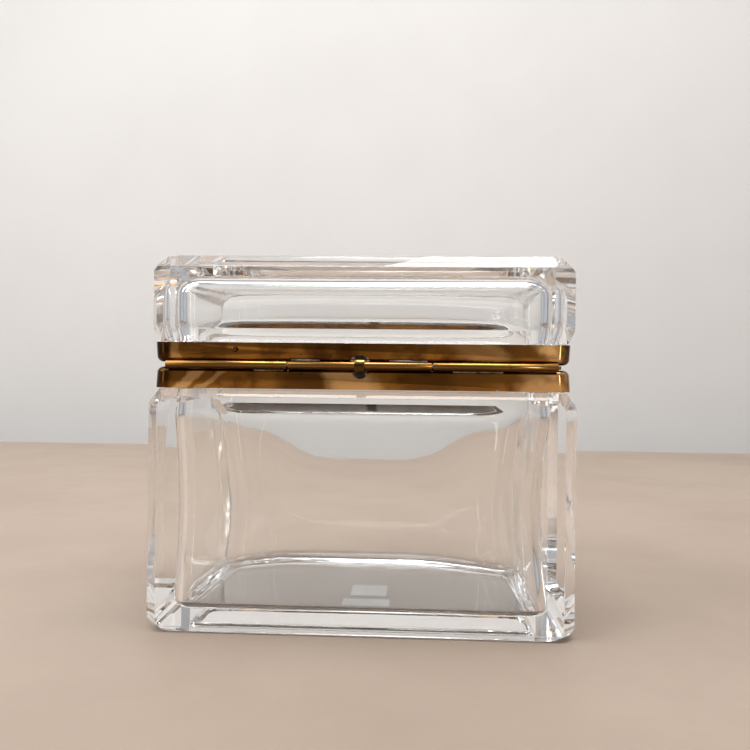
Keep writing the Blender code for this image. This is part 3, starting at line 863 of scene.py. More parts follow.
@dataclass
class CrystalBlock(SubAssembly):
    """A block of cut crystal with a neck for its collar and a pressed hollow."""

    name: str = "crystal_box"
    node: str = "body_glass"
    neck_way: Way = Way.UP
    shoulder: float = 0.0792          # where the neck starts
    corner: float = 0.0041            # legs of the upright corner facets
    neck_half: tuple[float, float] = (0.066, 0.041)
    foot: Facets = Facets(((0.002, 0.0012),), rounded(0.0046), rounded(0.0046))
    top: Facets = Facets(((0.0024, 0.0023),), ((0.0043, 0.0031),), ((0.0054, 0.0032),))
    edge: float = 0.00022             # width of the polished arris
    wall: float = 0.0072
    shut: float = 0.0054              # height of the hollow's closed end
    fillet: tuple[float, float] = (0.0075, 0.0036)     # its reach along the end, and up the walls
    inner_corner: float = 0.008
    rows: int = 44
    pressing: Optional[Pressing] = None
    cut: Optional[CrystalFinish] = None
    pressed: Optional[CrystalFinish] = None

    def directions(self) -> list[tuple[Vector, float]]:
        """The eight upright faces: direction and distance from the middle."""
        half = span(self.node).size / 2
        faces = [(Vector((sign, 0.0, 0.0)), half.x) for sign in (-1, 1)]
        faces += [(Vector((0.0, sign, 0.0)), half.y) for sign in (-1, 1)]
        reach = (half.x + half.y - self.corner) / math.sqrt(2)
        faces += [(Vector((a, b, 0.0)).normalized(), reach) for a in (-1, 1) for b in (-1, 1)]
        return faces

    def grind_end(self, z: float, way: int, facets: Facets) -> None:
        """Grind the sloping facets at one end, in edit mode.

        Args:
            z: the height of that end.
            way: 1 for the top and -1 for the bottom.
            facets: their sizes.
        """
        for direction, reach in self.directions():
            sizes = facets.on(direction)
            corners = [(sizes[0][0], 0.0)]
            corners += [(after[0], before[1]) for before, after in zip(sizes, sizes[1:])]
            corners.append((0.0, sizes[-1][1]))
            for (high, near), (low, far) in zip(corners, corners[1:]):
                point = direction * (reach - near) + Vector((0.0, 0.0, z - way * high))
                normal = direction * (high - low) + Vector((0.0, 0.0, way * (far - near)))
                Bench.slice_at(point, normal.normalized(), grind=True)

    def outside(self) -> bpy.types.Object:
        """Model the block with its facets, its polished arrises and its neck."""
        whole = span(self.node)
        ends = sorted((whole.low.z if self.neck_way is Way.UP else whole.high.z, self.shoulder))
        obj = Bench.block(self.name, (whole.low.x, whole.low.y, ends[0]),
                          (whole.high.x, whole.high.y, ends[1]))
        with Bench.editing(obj):
            for direction, reach in self.directions()[4:]:
                Bench.slice_at(direction * reach, direction, grind=True)
            self.grind_end(ends[0], -1, self.foot)
            self.grind_end(ends[1], 1, self.top)
            bpy.ops.mesh.select_all(action="SELECT")
            bpy.ops.mesh.normals_make_consistent(inside=False)
            Bench.select_edges(obj, lambda edge: True)
            Bench.round_selected(self.edge, 2)
            self.raise_neck(obj, whole)
        return obj

    def raise_neck(self, obj: bpy.types.Object, whole: Span) -> None:
        """Inset the shoulder and draw the neck out of it, in edit mode.

        Args:
            obj: the block.
            whole: the node's box.
        """
        way = self.neck_way.value
        rim = whole.high.z if self.neck_way is Way.UP else whole.low.z
        Bench.select_faces(obj, lambda face: face.normal.z * way > 0.99 and abs(
            face.calc_center_median().z - self.shoulder) < NEAR and face.calc_area() > 1e-3)
        bpy.ops.mesh.inset(thickness=0.001, use_even_offset=True)
        mesh = bmesh.from_edit_mesh(obj.data)
        verts = [vert for vert in mesh.verts if vert.select]
        now = Vector((max(vert.co.x for vert in verts), max(vert.co.y for vert in verts)))
        bpy.ops.transform.resize(value=(self.neck_half[0] / now.x, self.neck_half[1] / now.y, 1.0),
                                 center_override=(0.0, 0.0, self.shoulder))
        bpy.ops.mesh.extrude_region_move(
            TRANSFORM_OT_translate={"value": (0.0, 0.0, rim - self.shoulder)})

    def hollow(self) -> bpy.types.Object:
        """Model the hollow as a solid: rounded corners, a filleted end and pressed walls."""
        whole = span(self.node)
        way = self.neck_way.value
        half = (whole.size.x / 2 - self.wall, whole.size.y / 2 - self.wall)
        mouth = (whole.high.z if self.neck_way is Way.UP else whole.low.z) + way * 0.004
        obj = rounded_block(f"{self.name}_hollow", half, (self.shut, mouth), self.inner_corner, 10)
        reach, up = self.fillet
        with Bench.editing(obj):
            Bench.select_edges(obj, lambda edge: is_at_height(edge, self.shut))
            Bench.round_selected(reach, 10)
            Bench.select_verts(obj, lambda vert: way * (vert.co.z - self.shut) < reach + NEAR)
            bpy.ops.transform.resize(value=(1.0, 1.0, up / reach),
                                     center_override=(0.0, 0.0, self.shut))
            self.slice_walls(half, self.shut + way * up, mouth)
        Bench.cage(obj, lambda place: self.pressing.shift(place, half, way * (place.z - self.shut)),
                   (25, 13, 64))
        obj.data.materials.append(None)
        obj.data.materials.append(None)
        for face in obj.data.polygons:
            face.material_index = 1
        return obj

    def slice_walls(self, half: tuple[float, float], start: float, end: float) -> None:
        """Slice the hollow into rows and columns, in edit mode.

        Args:
            half: its half length and half depth.
            start: the height that the rows start from.
            end: the height that they end at.
        """
        for i in range(1, self.rows):
            Bench.slice_at((0.0, 0.0, start + (end - start) * i / self.rows), (0.0, 0.0, 1.0))
        for axis, extent, count in ((0, half[0], 22), (1, half[1], 12)):
            flat = extent - self.inner_corner
            normal = Vector((1.0 - axis, float(axis), 0.0))
            for i in range(1, count):
                Bench.slice_at(normal * flat * (2 * i / count - 1), normal)

    def undercut(self, obj: bpy.types.Object) -> None:
        """Cut what else this block needs: nothing for a plain one."""

    def build(self) -> None:
        """Build the glass: cut it, shade it and put it in place."""
        obj = self.outside()
        obj.data.materials.append(None)
        obj.data.materials.append(None)
        Bench.combine(obj, self.hollow())
        self.undercut(obj)
        Bench.shade(obj, 16.0)
        Bench.apply(obj, "WEIGHTED_NORMAL", keep_sharp=True, weight=100, mode="FACE_AREA")
        obj.data.materials[0] = self.cut.material()
        obj.data.materials[1] = self.pressed.material()
        self.hand_over(obj, "crystal", self.node)


@dataclass
class CrystalBox(CrystalBlock):
    """The box: as a block, with a shallow hollow ground under its base."""

    recess_half: tuple[float, float] = (0.057, 0.033)
    recess_depth: float = 0.0009

    def undercut(self, obj: bpy.types.Object) -> None:
        """Grind the recess under the base, with a rounded rim."""
        recess = rounded_block("recess", self.recess_half, (-0.003, self.recess_depth), 0.004)
        with Bench.editing(recess):
            Bench.select_edges(recess, lambda edge: is_at_height(edge, self.recess_depth))
            Bench.round_selected(0.0007, 4)
        Bench.combine(obj, recess)


@dataclass
class Collar(SubAssembly):
    """A brass collar: tapered skirt, rounded parting edge and flat flange over the glass rim."""

    name: str = "base_frame"
    node: str = "base_collar"
    parting: Way = Way.UP             # where the parting edge is
    corner: float = 0.004
    edge: float = 0.002
    sheet: float = 0.0008
    flare: float = 0.00025            # how far the skirt opens towards the glass
    opening_half: tuple[float, float] = (0.0628, 0.0378)
    opening_corner: float = 0.008
    notch: tuple[float, float] = (0.0048, 0.0034)
    notch_depth: float = 0.0026
    holes: tuple[tuple[float, float, float, Face], ...] = ()
    finish: Optional[BrassFinish] = None

    def build(self) -> None:
        """Build the collar."""
        whole = span(self.node)
        half = (whole.size.x / 2 - self.flare, whole.size.y / 2 - self.flare)
        parting_z = whole.high.z if self.parting is Way.UP else whole.low.z
        skirt_z = whole.low.z if self.parting is Way.UP else whole.high.z
        obj = rounded_block(self.name, half, (whole.low.z, whole.high.z), self.corner, 10)
        with Bench.editing(obj):
            Bench.select_edges(obj, lambda edge: is_at_height(edge, parting_z))
            Bench.round_selected(self.edge, 8)
            Bench.select_faces(obj, lambda face: abs(face.normal.z) > 0.99 and abs(
                face.calc_center_median().z - skirt_z) < NEAR)
            bpy.ops.mesh.delete(type="FACE")
            Bench.select_verts(obj, lambda vert: abs(vert.co.z - skirt_z) < NEAR)
            grown = (1 + self.flare / half[0], 1 + self.flare / half[1], 1.0)
            bpy.ops.transform.resize(value=grown, center_override=(0.0, 0.0, skirt_z))
        Bench.apply(obj, "SOLIDIFY", thickness=self.sheet, offset=-1.0, use_even_offset=True)
        Bench.combine(obj, rounded_block("opening", self.opening_half, (
            parting_z - 0.003, parting_z + 0.003), self.opening_corner, 10))
        self.cut_notch(obj, parting_z)
        for x, z, radius, face in self.holes:
            y = face.value * half[1]
            Bench.combine(obj, Bench.bar("hole", radius, (x, y - 0.002, z), (x, y + 0.002, z), 24))
        Bench.ease_edges(obj)
        Bench.shade(obj)
        self.hand_over(obj, "brass", self.node, materials=[self.finish.material()])

    def cut_notch(self, obj: bpy.types.Object, parting_z: float) -> None:
        """Cut the round-ended notch that the stop strap passes through.

        Args:
            obj: the collar.
            parting_z: the height of its flat.
        """
        hinge = joint_place("lid_hinge")
        width, height = self.notch
        far = parting_z - self.parting.value * height
        near = parting_z + self.parting.value * 0.002
        tool = Bench.block("notch", (-width / 2, hinge.y - 0.003, min(near, far)),
                           (width / 2, hinge.y + self.notch_depth, max(near, far)))
        with Bench.editing(tool):
            Bench.select_edges(tool, lambda edge: is_at_height(edge, far) and abs(
                edge.verts[0].co.x - edge.verts[1].co.x) < NEAR)
            Bench.round_selected(min(width / 2.2, height * 0.8), 8)
        Bench.combine(obj, tool)


@dataclass
class Band(SubAssembly):
    """An upright band of even thickness: the cement behind a collar, or the locating lip."""

    name: str = "cement_band"
    node: str = "base_cement"
    slot: str = "cement"
    outer: float = 0.0                # how far the band is let out beyond its node
    inner: float = 0.0                # and how far it is let in
    corner: float = 0.003
    thickness: float = 0.0005
    finish: Optional[Union[ChalkFinish, BrassFinish]] = None

    def build(self) -> None:
        """Build the band."""
        whole = span(self.node)
        half = (whole.size.x / 2 + self.outer, whole.size.y / 2 + self.outer)
        obj = rounded_block(self.name, half, (whole.low.z, whole.high.z), self.corner, 8)
        with Bench.editing(obj):
            Bench.select_faces(obj, lambda face: abs(face.normal.z) > 0.99)
            bpy.ops.mesh.delete(type="FACE")
        Bench.apply(obj, "SOLIDIFY", thickness=self.thickness + self.outer + self.inner,
                    offset=-1.0, use_even_offset=True)
        Bench.ease_edges(obj)
        Bench.shade(obj)
        self.hand_over(obj, self.slot, self.node, materials=[self.finish.material()])


@dataclass
class BarrelHinge(SubAssembly):
    """The three knuckles with their leaves, the pin and the solder that holds the leaves."""

    radius: float = 0.00145
    bore: float = 0.0007
    set_back: float = 0.0006          # how far a leaf ends short of its knuckle
    brass: Optional[BrassFinish] = None
    steel: Optional[SteelFinish] = None
    solder: Optional[ChalkFinish] = None

    def knuckle(self, name: str, node: str, body: str) -> None:
        """Model one knuckle: a tube with a flat leaf.

        Args:
            name: the piece's name.
            node: the node that it stands for.
            body: the body that it rides on.
        """
        whole = span(node)
        hinge = joint_place("lid_hinge")
        start, end = (whole.low.x, hinge.y, hinge.z), (whole.high.x, hinge.y, hinge.z)
        obj = Bench.bar(name, self.radius, start, end)
        with Bench.editing(obj):
            Bench.select_faces(obj, lambda face: abs(face.normal.x) > 0.99)
            bpy.ops.mesh.inset(thickness=self.radius - self.bore, use_even_offset=True)
            bpy.ops.mesh.bridge_edge_loops()
        leaf_y = (hinge.y + 0.001, whole.high.y)
        flat = [vert.co for vert in frame["nodes"][node].data.vertices
                if vert.co.y > hinge.y + 0.003]
        leaf = Bench.block("leaf", (min(p.x for p in flat) + self.set_back, leaf_y[0],
                                    min(p.z for p in flat)),
                           (max(p.x for p in flat) - self.set_back, leaf_y[1],
                            max(p.z for p in flat)))
        Bench.put_right(obj)
        Bench.combine(obj, leaf, "UNION")
        with Bench.editing(obj):
            Bench.select_edges(obj, lambda edge: all(
                0.9 < (vert.co.yz - hinge.yz).length / self.radius < 1.01
                and min(abs(vert.co.x - whole.low.x), abs(vert.co.x - whole.high.x)) < NEAR
                for vert in edge.verts))
            Bench.round_selected(0.00014, 2)
        Bench.shade(obj, 35.0)
        self.body = body
        self.hand_over(obj, "brass", node, materials=[self.brass.material()])

    def pin(self) -> None:
        """Model the wire through the knuckles, with its ends nipped and rounded."""
        whole = span("hinge_pin")
        middle = whole.middle
        obj = Bench.bar("hinge_wire", whole.size.z / 2, (whole.low.x, middle.y, middle.z),
                        (whole.high.x, middle.y, middle.z), 24)
        with Bench.editing(obj):
            Bench.select_edges(obj, lambda edge: abs(
                edge.verts[0].co.x - edge.verts[1].co.x) < NEAR)
            Bench.round_selected(0.0002, 3)
        Bench.shade(obj, 35.0)
        self.body = "root"
        self.hand_over(obj, "dark_steel", "hinge_pin", materials=[self.steel.material()])

    def seam(self, name: str, body: str, way: Way, start: float, end: float) -> None:
        """Model a run of solder between a knuckle and its collar.

        Args:
            name: the piece's name.
            body: the body that it rides on.
            way: whether it lies above or below the barrel.
            start: X where the run begins.
            end: X where it ends.
        """
        hinge = joint_place("lid_hinge")
        y = hinge.y + 0.00052
        z = hinge.z + way.value * (self.radius + 0.00018)
        obj = Bench.bar(name, 0.00028, (start, y, z), (end, y, z), 12)
        with Bench.editing(obj):
            steps = int((end - start) / 0.0012)
            for i in range(1, steps):
                x = start + (end - start) * i / steps
                Bench.slice_at((x, 0.0, 0.0), (1.0, 0.0, 0.0))
                Bench.select_verts(obj, lambda vert: abs(vert.co.x - x) < NEAR)
                fat = 1.0 + 0.22 * math.sin(i * 1.7) + 0.16 * math.sin(i * 0.53 + 1.0)
                bpy.ops.transform.resize(value=(1.0, fat, fat), center_override=(x, y, z))
        Bench.shade(obj, 60.0)
        self.body = body
        self.hand_over(obj, "brass", materials=[self.solder.material()])

    def build(self) -> None:
        """Build the hinge."""
        for side, body in (("left", "root"), ("right", "root"), ("lid", "lid")):
            self.knuckle(f"knuckle_{side}", f"hinge_leaf_{side}", body)
        for name, body, way, start, end in (
                ("solder_left", "root", Way.DOWN, -0.0345, -0.0248),
                ("solder_right", "root", Way.DOWN, 0.0300, 0.0460),
                ("solder_lid_left", "lid", Way.UP, -0.0224, -0.0130),
                ("solder_lid_right", "lid", Way.UP, 0.0095, 0.0218)):
            self.seam(name, body, way, start, end)
        self.pin()


@dataclass
class StopStrap(SubAssembly):
    """The strap bent over the middle of the barrel."""

    top_angle: float = 60.0
    tail: float = 0.0012
    finish: Optional[BrassFinish] = None

    def build(self) -> None:
        """Spin a flat section about the hinge, then draw out the tail."""
        whole = span("stop_strap")
        hinge = joint_place("lid_hinge")
        outer = hinge.y - whole.low.y
        inner = outer - 0.0007
        bpy.ops.object.select_all(action="DESELECT")
        bpy.ops.mesh.primitive_plane_add(size=1.0)
        plane = bpy.context.object
        plane.scale = (whole.size.x, outer - inner, 1.0)
        plane.location = (0.0, hinge.y - (inner + outer) / 2, hinge.z)
        obj = Bench.named("strap")
        rise = math.radians(self.top_angle)
        with Bench.editing(obj):
            bpy.ops.mesh.select_all(action="SELECT")
            bpy.ops.transform.rotate(value=rise, orient_axis="X", center_override=hinge)
            bpy.ops.mesh.spin(steps=20, angle=-(rise + math.pi / 2), center=hinge,
                              axis=(1.0, 0.0, 0.0))
            bpy.ops.mesh.extrude_region_move(
                TRANSFORM_OT_translate={"value": (0.0, self.tail, 0.0)})
        Bench.put_right(obj)
        Bench.ease_edges(obj)
        Bench.shade(obj)
        self.hand_over(obj, "brass", "stop_strap", materials=[self.finish.material()])


@dataclass
class HeadedPin(SubAssembly):
    """A round-headed pin, rivet or stud square to the front or the back."""

    name: str = "rivet"
    node: str = "latch_rivet"
    slot: str = "brass"
    side: Face = Face.OPENING
    dome: float = 0.00085
    shank: float = 0.00075
    finish: Optional[Union[BrassFinish, SteelFinish]] = None

    def build(self) -> None:
        """Cut a ball into a dome, then draw the shank out of its flat."""
        whole = span(self.node)
        middle = whole.middle
        out = self.side.value
        crown = whole.high.y if self.side is Face.OPENING else whole.low.y
        tail = whole.low.y if self.side is Face.OPENING else whole.high.y
        base = crown - out * self.dome
        bpy.ops.object.select_all(action="DESELECT")
        bpy.ops.mesh.primitive_uv_sphere_add(segments=32, ring_count=16, radius=1.0)
        ball = bpy.context.object
        ball.scale = (whole.size.x / 2, whole.size.z / 2, self.dome)
        ball.rotation_euler = (-out * math.pi / 2, 0.0, 0.0)
        ball.location = (middle.x, base, middle.z)
        obj = Bench.named(self.name)
        with Bench.editing(obj):
            Bench.slice_at((0.0, base, 0.0), (0.0, -out, 0.0), grind=True)
            Bench.select_faces(obj, lambda face: face.normal.y * -out > 0.99)
            bpy.ops.mesh.inset(thickness=whole.size.x / 2 - self.shank)
            bpy.ops.mesh.extrude_region_move(
                TRANSFORM_OT_translate={"value": (0.0, tail - base, 0.0)})
        Bench.shade(obj, 35.0)
        self.hand_over(obj, self.slot, self.node, materials=[self.finish.material()])


@dataclass
class CatchLever(SubAssembly):
    """The lever of the swivel catch, with its washer."""

    arm: float = 0.00175
    head: float = 0.0021
    slot_half: float = 0.0009
    hole: float = 0.00085
    finish: Optional[BrassFinish] = None

    def lever(self) -> bpy.types.Object:
        """Model the lever: round head, straight arm, round tip and the slot for the keeper."""
        whole = span("latch_lever")
        pivot = joint_place("catch_swivel")
        flat = (whole.low.y, whole.high.y)
        obj = Bench.bar("catch_lever", self.head, (pivot.x, flat[0], pivot.z),
                        (pivot.x, flat[1], pivot.z))
        arm = Bench.block("arm", (pivot.x, flat[0], pivot.z - self.arm),
                          (whole.high.x, flat[1], pivot.z + self.arm))
        with Bench.editing(arm):
            Bench.select_edges(arm, lambda edge: abs(edge.verts[0].co.y - edge.verts[1].co.y) > 1e-4
                               and edge.verts[0].co.x > whole.middle.x)
            Bench.round_selected(self.arm * 0.98, 10)
        Bench.combine(obj, arm, "UNION")
        Bench.combine(obj, self.slot_tool(pivot, flat))
        Bench.combine(obj, Bench.bar("hole", self.hole, (pivot.x, flat[0] - 0.001, pivot.z),
                                     (pivot.x, flat[1] + 0.001, pivot.z), 32))
        return obj

    def slot_tool(self, pivot: Vector, flat: tuple[float, float]) -> bpy.types.Object:
        """Model the keeper's way into the arm: a bar swung about the pivot.

        Args:
            pivot: the rivet's place.
            flat: the lever's two faces.

        Returns:
            The cutter.
        """
        reach = pivot.z - span("keeper_stud").middle.z
        tool = Bench.bar("way_in", self.slot_half, (pivot.x + reach, flat[0] - 0.001, pivot.z),
                         (pivot.x + reach, flat[1] + 0.001, pivot.z), 32)
        with Bench.editing(tool):
            Bench.slice_at((0.0, 0.0, pivot.z), (0.0, 0.0, -1.0), grind=True)
            Bench.select_faces(tool, lambda face: face.normal.z < -0.99)
            for _ in range(8):
                bpy.ops.mesh.extrude_region_move()
                bpy.ops.transform.rotate(value=-math.radians(3.5), orient_axis="Y",
                                         center_override=pivot)
        Bench.put_right(tool)
        return tool

    def washer(self) -> bpy.types.Object:
        """Model the washer between the lever and the collar."""
        whole = span("latch_washer")
        middle = whole.middle
        obj = Bench.bar("catch_washer", whole.size.x / 2, (middle.x, whole.low.y, middle.z),
                        (middle.x, whole.high.y, middle.z), 32)
        with Bench.editing(obj):
            Bench.select_faces(obj, lambda face: abs(face.normal.y) > 0.99)
            bpy.ops.mesh.inset(thickness=whole.size.x / 2 - self.hole, use_even_offset=True)
            bpy.ops.mesh.bridge_edge_loops()
        return obj

    def build(self) -> None:
        """Build the lever and the washer."""
        material = self.finish.material()
        for obj, node, body in ((self.lever(), "latch_lever", "latch"),
                                (self.washer(), "latch_washer", "lid")):
            Bench.ease_edges(obj, 0.0001)
            Bench.shade(obj)
            self.body = body
            self.hand_over(obj, "brass", node, materials=[material])


@dataclass
class PaperLabel(SubAssembly):
    """A blank label stuck under the base."""

    name: str = "blank_label"
    node: str = "price_label"
    thick: float = 0.0001
    finish: Optional[ChalkFinish] = None

    def build(self) -> None:
        """Build the label against the glass."""
        whole = span(self.node)
        top = CrystalBox.recess_depth - TOUCH
        obj = Bench.block(self.name, (whole.low.x, whole.low.y, top - self.thick),
                          (whole.high.x, whole.high.y, top))
        with Bench.editing(obj):
            Bench.select_edges(obj, is_upright)
            Bench.round_selected(0.0008, 4)
        Bench.shade(obj)
        self.hand_over(obj, "paper", self.node, materials=[self.finish.material()])


# ---------------------------------------------------------------- studio


@dataclass(frozen=True)
class Lamp:
    """A soft panel of light."""

    name: str
    place: tuple[float, float, float]
    aim: tuple[float, float, float]
    size: tuple[float, float]
    power: float
    colour: tuple[float, float, float] = (1.0, 1.0, 1.0)

    def build(self) -> None:
        """Hang the lamp."""
        data = bpy.data.lights.new(self.name, "AREA")
        data.shape = "RECTANGLE"
        data.size, data.size_y = self.size
        data.energy = self.power
        data.color = self.colour
        obj = bpy.data.objects.new(self.name, data)
        obj.location = self.place
        way = Vector(self.aim) - Vector(self.place)
        obj.rotation_euler = way.to_track_quat("-Z", "Y").to_euler()
        obj.visible_camera = False
        bpy.context.scene.collection.objects.link(obj)


@dataclass(frozen=True)
class Studio:
    """Pale floor, pale wall, soft lamps and the camera."""

    wall_y: float = 0.56
    reach: float = 2.2
    air: float = 0.00012              # between the glass and the table: ground glass never seals
    side: float = 0.0173              # camera: to the right of the middle
    distance: float = 0.2396          # in front of the glass face on the hinge side
    height: float = 0.0854
    yaw: float = -2.92
    pitch: float = -0.25
    roll: float = 0.63
    lens: float = 36.0
    sensor: float = 36.0
    bounces: int = 32                 # thick cut glass turns light many times

    def floor(self) -> None:
        """Lay the table top, with a thickness and a soft far edge."""
        obj = Bench.block("table_top", (-self.reach, -self.reach, -0.04),
                          (self.reach, self.wall_y, -self.air))
        Bench.ease_edges(obj, 0.002)
        finish = ChalkFinish("pale_table", (0.44, 0.34, 0.265, 1.0), (0.405, 0.31, 0.24, 1.0), 9.0,
                             0.5, 0.00002)
        obj.data.materials.append(finish.material())

    def wall(self) -> None:
        """Stand the wall behind the table."""
        obj = Bench.block("wall", (-self.reach, self.wall_y + 0.12, -0.6),
                          (self.reach, self.wall_y + 0.16, 2.4))
        Bench.ease_edges(obj, 0.002)
        finish = ChalkFinish("pale_wall", (0.78, 0.775, 0.765, 1.0), (0.75, 0.745, 0.735, 1.0), 3.0,
                             0.85, 0.00001)
        obj.data.materials.append(finish.material())

    def camera(self) -> None:
        """Set up the camera."""
        yaw, pitch, roll = (math.radians(angle) for angle in (self.yaw, self.pitch, self.roll))
        ahead = Vector((math.sin(yaw) * math.cos(pitch), math.cos(yaw) * math.cos(pitch),
                        math.sin(pitch)))
        right = Vector((math.cos(yaw), -math.sin(yaw), 0.0))
        up = right.cross(ahead)
        tilted = math.cos(roll) * right + math.sin(roll) * up
        upright = math.cos(roll) * up - math.sin(roll) * right
        turn = Matrix((tilted, upright, -ahead)).transposed().to_4x4()
        data = bpy.data.cameras.new("view")
        data.lens, data.sensor_width = self.lens, self.sensor
        data.clip_start = 0.01
        obj = bpy.data.objects.new("view", data)
        face = span("body_glass").low.y
        obj.matrix_world = Matrix.Translation((self.side, face - self.distance, self.height)) @ turn
        bpy.context.scene.collection.objects.link(obj)
        bpy.context.scene.camera = obj

    def world(self) -> None:
        """Fill the room with an even soft light."""
        world = bpy.data.worlds.new("room")
        world.use_nodes = True
        graph = Graph(world.node_tree)
        background = world.node_tree.nodes["Background"]
        parts = graph.node("SeparateXYZ", {0: graph.node("TexCoord").outputs["Generated"]})
        behind = graph.fit(parts.outputs["Y"], (-0.7, 0.1), (0.0, 1.0), True)
        above = graph.fit(parts.outputs["Z"], (0.3, 0.9), (0.0, 1.0), True)
        light = graph.math("MAXIMUM", behind, above)
        graph.feed(background.inputs["Color"], graph.mix(
            light, (0.24, 0.195, 0.155, 1.0), (0.47, 0.50, 0.55, 1.0)))
        bpy.context.scene.world = world

    def light_paths(self) -> None:
        """Let light turn inside thick cut glass as often as it has to."""
        scene = bpy.context.scene
        scene.view_settings.view_transform = "Standard"
        scene.cycles.max_bounces = self.bounces
        scene.cycles.glossy_bounces = self.bounces
        scene.cycles.transmission_bounces = self.bounces

    def build(self) -> None:
        """Build the studio."""
        self.camera()
        self.floor()
        self.wall()
        self.world()
        self.light_paths()
        for lamp in (
                Lamp("window", (-0.9, -0.35, 0.85), (0.0, 0.0, 0.05), (0.9, 0.9), 8.0,
                     (0.93, 0.97, 1.0)),
                Lamp("overhead", (0.1, -0.15, 1.3), (0.0, 0.0, 0.0), (0.8, 0.6), 10.0),
                Lamp("left_strip", (-0.75, -0.75, 0.2), (0.0, 0.0, 0.08), (0.10, 0.6), 0.9,
                     (1.0, 0.95, 0.88)),
                Lamp("right_strip", (0.42, -0.95, 0.2), (0.0, 0.0, 0.085), (0.06, 0.5), 0.6,
                     (1.0, 0.95, 0.88)),
                Lamp("wall_wash", (0.0, 0.05, 0.75), (0.0, 0.7, 0.05), (1.6, 0.25), 1.75)):
            lamp.build()
        LOG.info("made the studio")


# ---------------------------------------------------------------- the casket


def build_glass() -> None:
    """Build the box and the lid of cut crystal."""
    cut = CrystalFinish("cut_crystal", ripple=0.00001, ripple_scale=30.0, smear=0.03)
    pressed = CrystalFinish("pressed_crystal", ripple=0.00008, ripple_scale=40.0, smear=0.02)
    CrystalBox(cut=cut, pressed=pressed, pressing=Pressing(
        length=0.066, left_bow=0.0016, right_bow=0.003, corner_bow=0.0018, lean=0.0008,
        throat=0.0015, throat_at=0.0702, throat_width=0.0036, throat_reach=0.044)).build()
    CrystalBlock(
        body="lid", name="crystal_lid", node="lid_glass", neck_way=Way.DOWN, shoulder=0.0948,
        corner=0.0081,
        foot=Facets(((0.0041, 0.0024),), ((0.0043, 0.0022),), ((0.005, 0.0022),)),
        top=Facets(((0.004, 0.004),), ((0.0044, 0.005),), ((0.0029, 0.0026),)),
        shut=0.117, fillet=(0.0085, 0.006), inner_corner=0.009, rows=30,
        pressing=Pressing(length=0.0222, left_bow=0.0, right_bow=0.0, corner_bow=0.0, lean=0.0008,
                          throat=0.0014, throat_at=0.0192, throat_width=0.003,
                          throat_reach=0.045), cut=cut, pressed=pressed).build()


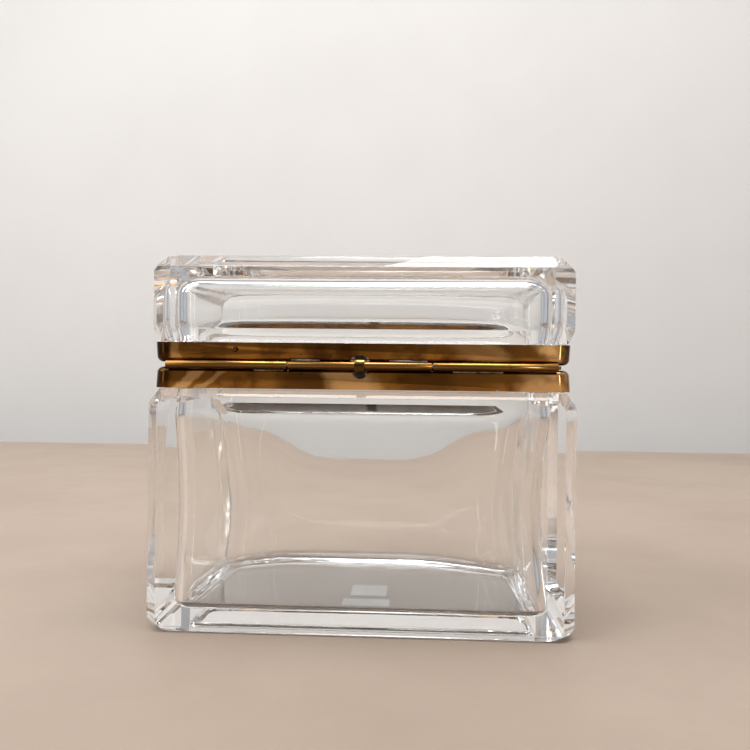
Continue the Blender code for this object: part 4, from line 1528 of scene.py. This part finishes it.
def build_collars() -> None:
    """Build the two collars, their plaster and the locating lip."""
    keeper, rivet, small_pin = (span(node).middle for node in (
        "keeper_stud", "latch_rivet", "lid_collar_pin"))
    Collar(
        holes=((keeper.x, keeper.z, 0.0007, Face.OPENING),),
        finish=BrassFinish(
            "base_brass", 0.5, glass_edge=span("base_collar").low.z, way=Way.UP, verdigris=0.6,
            # painted shade on the top rounding; the marks are painted highlights and painted shade
            plaster=0.35, painted_shade=(0.0863, 0.0853), marks=(
                Mark(Tone.SOOTY, -0.0655, 0.0042),
                Mark(Tone.RUBBED, -0.0590, 0.0035, 0.8, -1.1),
                Mark(Tone.RUBBED, -0.0525, 0.0022, 0.55, -1.4),
                Mark(Tone.SOOTY, -0.018, 0.011, 0.55),
                Mark(Tone.RUBBED, -0.001, 0.0110, 0.75, 0.6),
                Mark(Tone.SOOTY, 0.021, 0.012, 0.5),
                Mark(Tone.RUBBED, 0.059, 0.0105, 0.7)))).build()
    Collar(
        body="lid", name="lid_frame", node="lid_collar", parting=Way.DOWN, notch=(0.0062, 0.0025),
        holes=((rivet.x, rivet.z, 0.00085, Face.OPENING),
               (small_pin.x, small_pin.z, 0.00055, Face.HINGE)),
        finish=BrassFinish(
            "lid_brass", 0.75, glass_edge=span("lid_collar").high.z, way=Way.DOWN, verdigris=0.2,
            # painted shade on the bottom rounding; the marks are painted highlights and painted
            # shade
            plaster=0.2, painted_shade=(0.0884, 0.0899), marks=(
                Mark(Tone.SOOTY, -0.0655, 0.0038, 0.9),
                Mark(Tone.RUBBED, -0.0605, 0.0022, 0.45),
                Mark(Tone.SOOTY, -0.004, 0.022, 0.5),
                Mark(Tone.RUBBED, 0.036, 0.010, 0.35, 1.2),
                Mark(Tone.RUBBED, 0.060, 0.0055, 0.6, 0.8),
                Mark(Tone.SOOTY, 0.0672, 0.0022, 0.8)))).build()
    # plaster with painted shade: a dark stripe down the middle, in the notches
    plaster = ChalkFinish("plaster", (0.92, 0.93, 0.94, 1.0), (0.74, 0.74, 0.72, 1.0), 110.0, 0.85,
                          0.00005, notch_shade=0.0032)
    for body, name, node in (("root", "base_plaster", "base_cement"),
                             ("lid", "lid_plaster", "lid_cement")):
        Band(body=body, name=name, node=node, outer=0.00028, inner=0.00025, finish=plaster).build()
    Band(name="locating_lip", node="locating_bezel", slot="brass", corner=0.0077, thickness=0.0007,
         finish=BrassFinish("lip_brass", 0.5)).build()


def build_fittings() -> None:
    """Build the hinge, the strap, the catch and the small pin."""
    hinge = joint_place("lid_hinge")
    BarrelHinge(
        brass=BrassFinish("knuckle_brass", 0.3, wave=0.0001, gold=(0.46, 0.24, 0.065, 1.0),
                          # painted shade: the barrel darker below the hinge axis
                          painted_shade=(hinge.z - 0.0008, hinge.z + 0.0003)),
        steel=SteelFinish("hinge_steel"),
        solder=ChalkFinish("solder", (0.34, 0.31, 0.26, 1.0), (0.09, 0.055, 0.03, 1.0), 330.0,
                           0.45, 0.00004, metallic=0.7)).build()
    # painted shade: the strap darker on its front and lower part
    StopStrap(finish=BrassFinish("strap_brass", 0.8, wave=0.0001, painted_shade=(0.0874, 0.0888),
                                 gold=(0.60, 0.36, 0.12, 1.0))).build()
    fittings = BrassFinish("fitting_brass", 0.35, wave=0.00006)
    CatchLever(finish=fittings).build()
    HeadedPin(body="lid", name="catch_rivet", node="latch_rivet", finish=fittings).build()
    HeadedPin(name="keeper", node="keeper_stud", shank=0.0006, finish=fittings).build()
    HeadedPin(body="lid", name="collar_pin", node="lid_collar_pin", slot="dark_steel",
              side=Face.HINGE, dome=0.0005, shank=0.00045, finish=BrassFinish(
                  "pin_bronze", 1.0, wave=0.00003, gold=(0.16, 0.06, 0.03, 1.0))).build()


def build_labels() -> None:
    """Stick the two blank labels under the base."""
    for name, node in (("blank_label", "price_label"), ("blank_square", "square_label")):
        paper = ChalkFinish(f"{name}_paper", (0.90, 0.90, 0.88, 1.0), (0.82, 0.81, 0.77, 1.0),
                            220.0, 0.8, 0.00001)
        PaperLabel(name=name, node=node, finish=paper).build()


def main() -> None:
    """Build the casket piece by piece, and the studio round it."""
    logging.basicConfig(level=logging.INFO, format="%(name)s: %(message)s")
    build_glass()
    build_collars()
    build_fittings()
    build_labels()
    Studio().build()


if __name__ == "__main__":
    main()
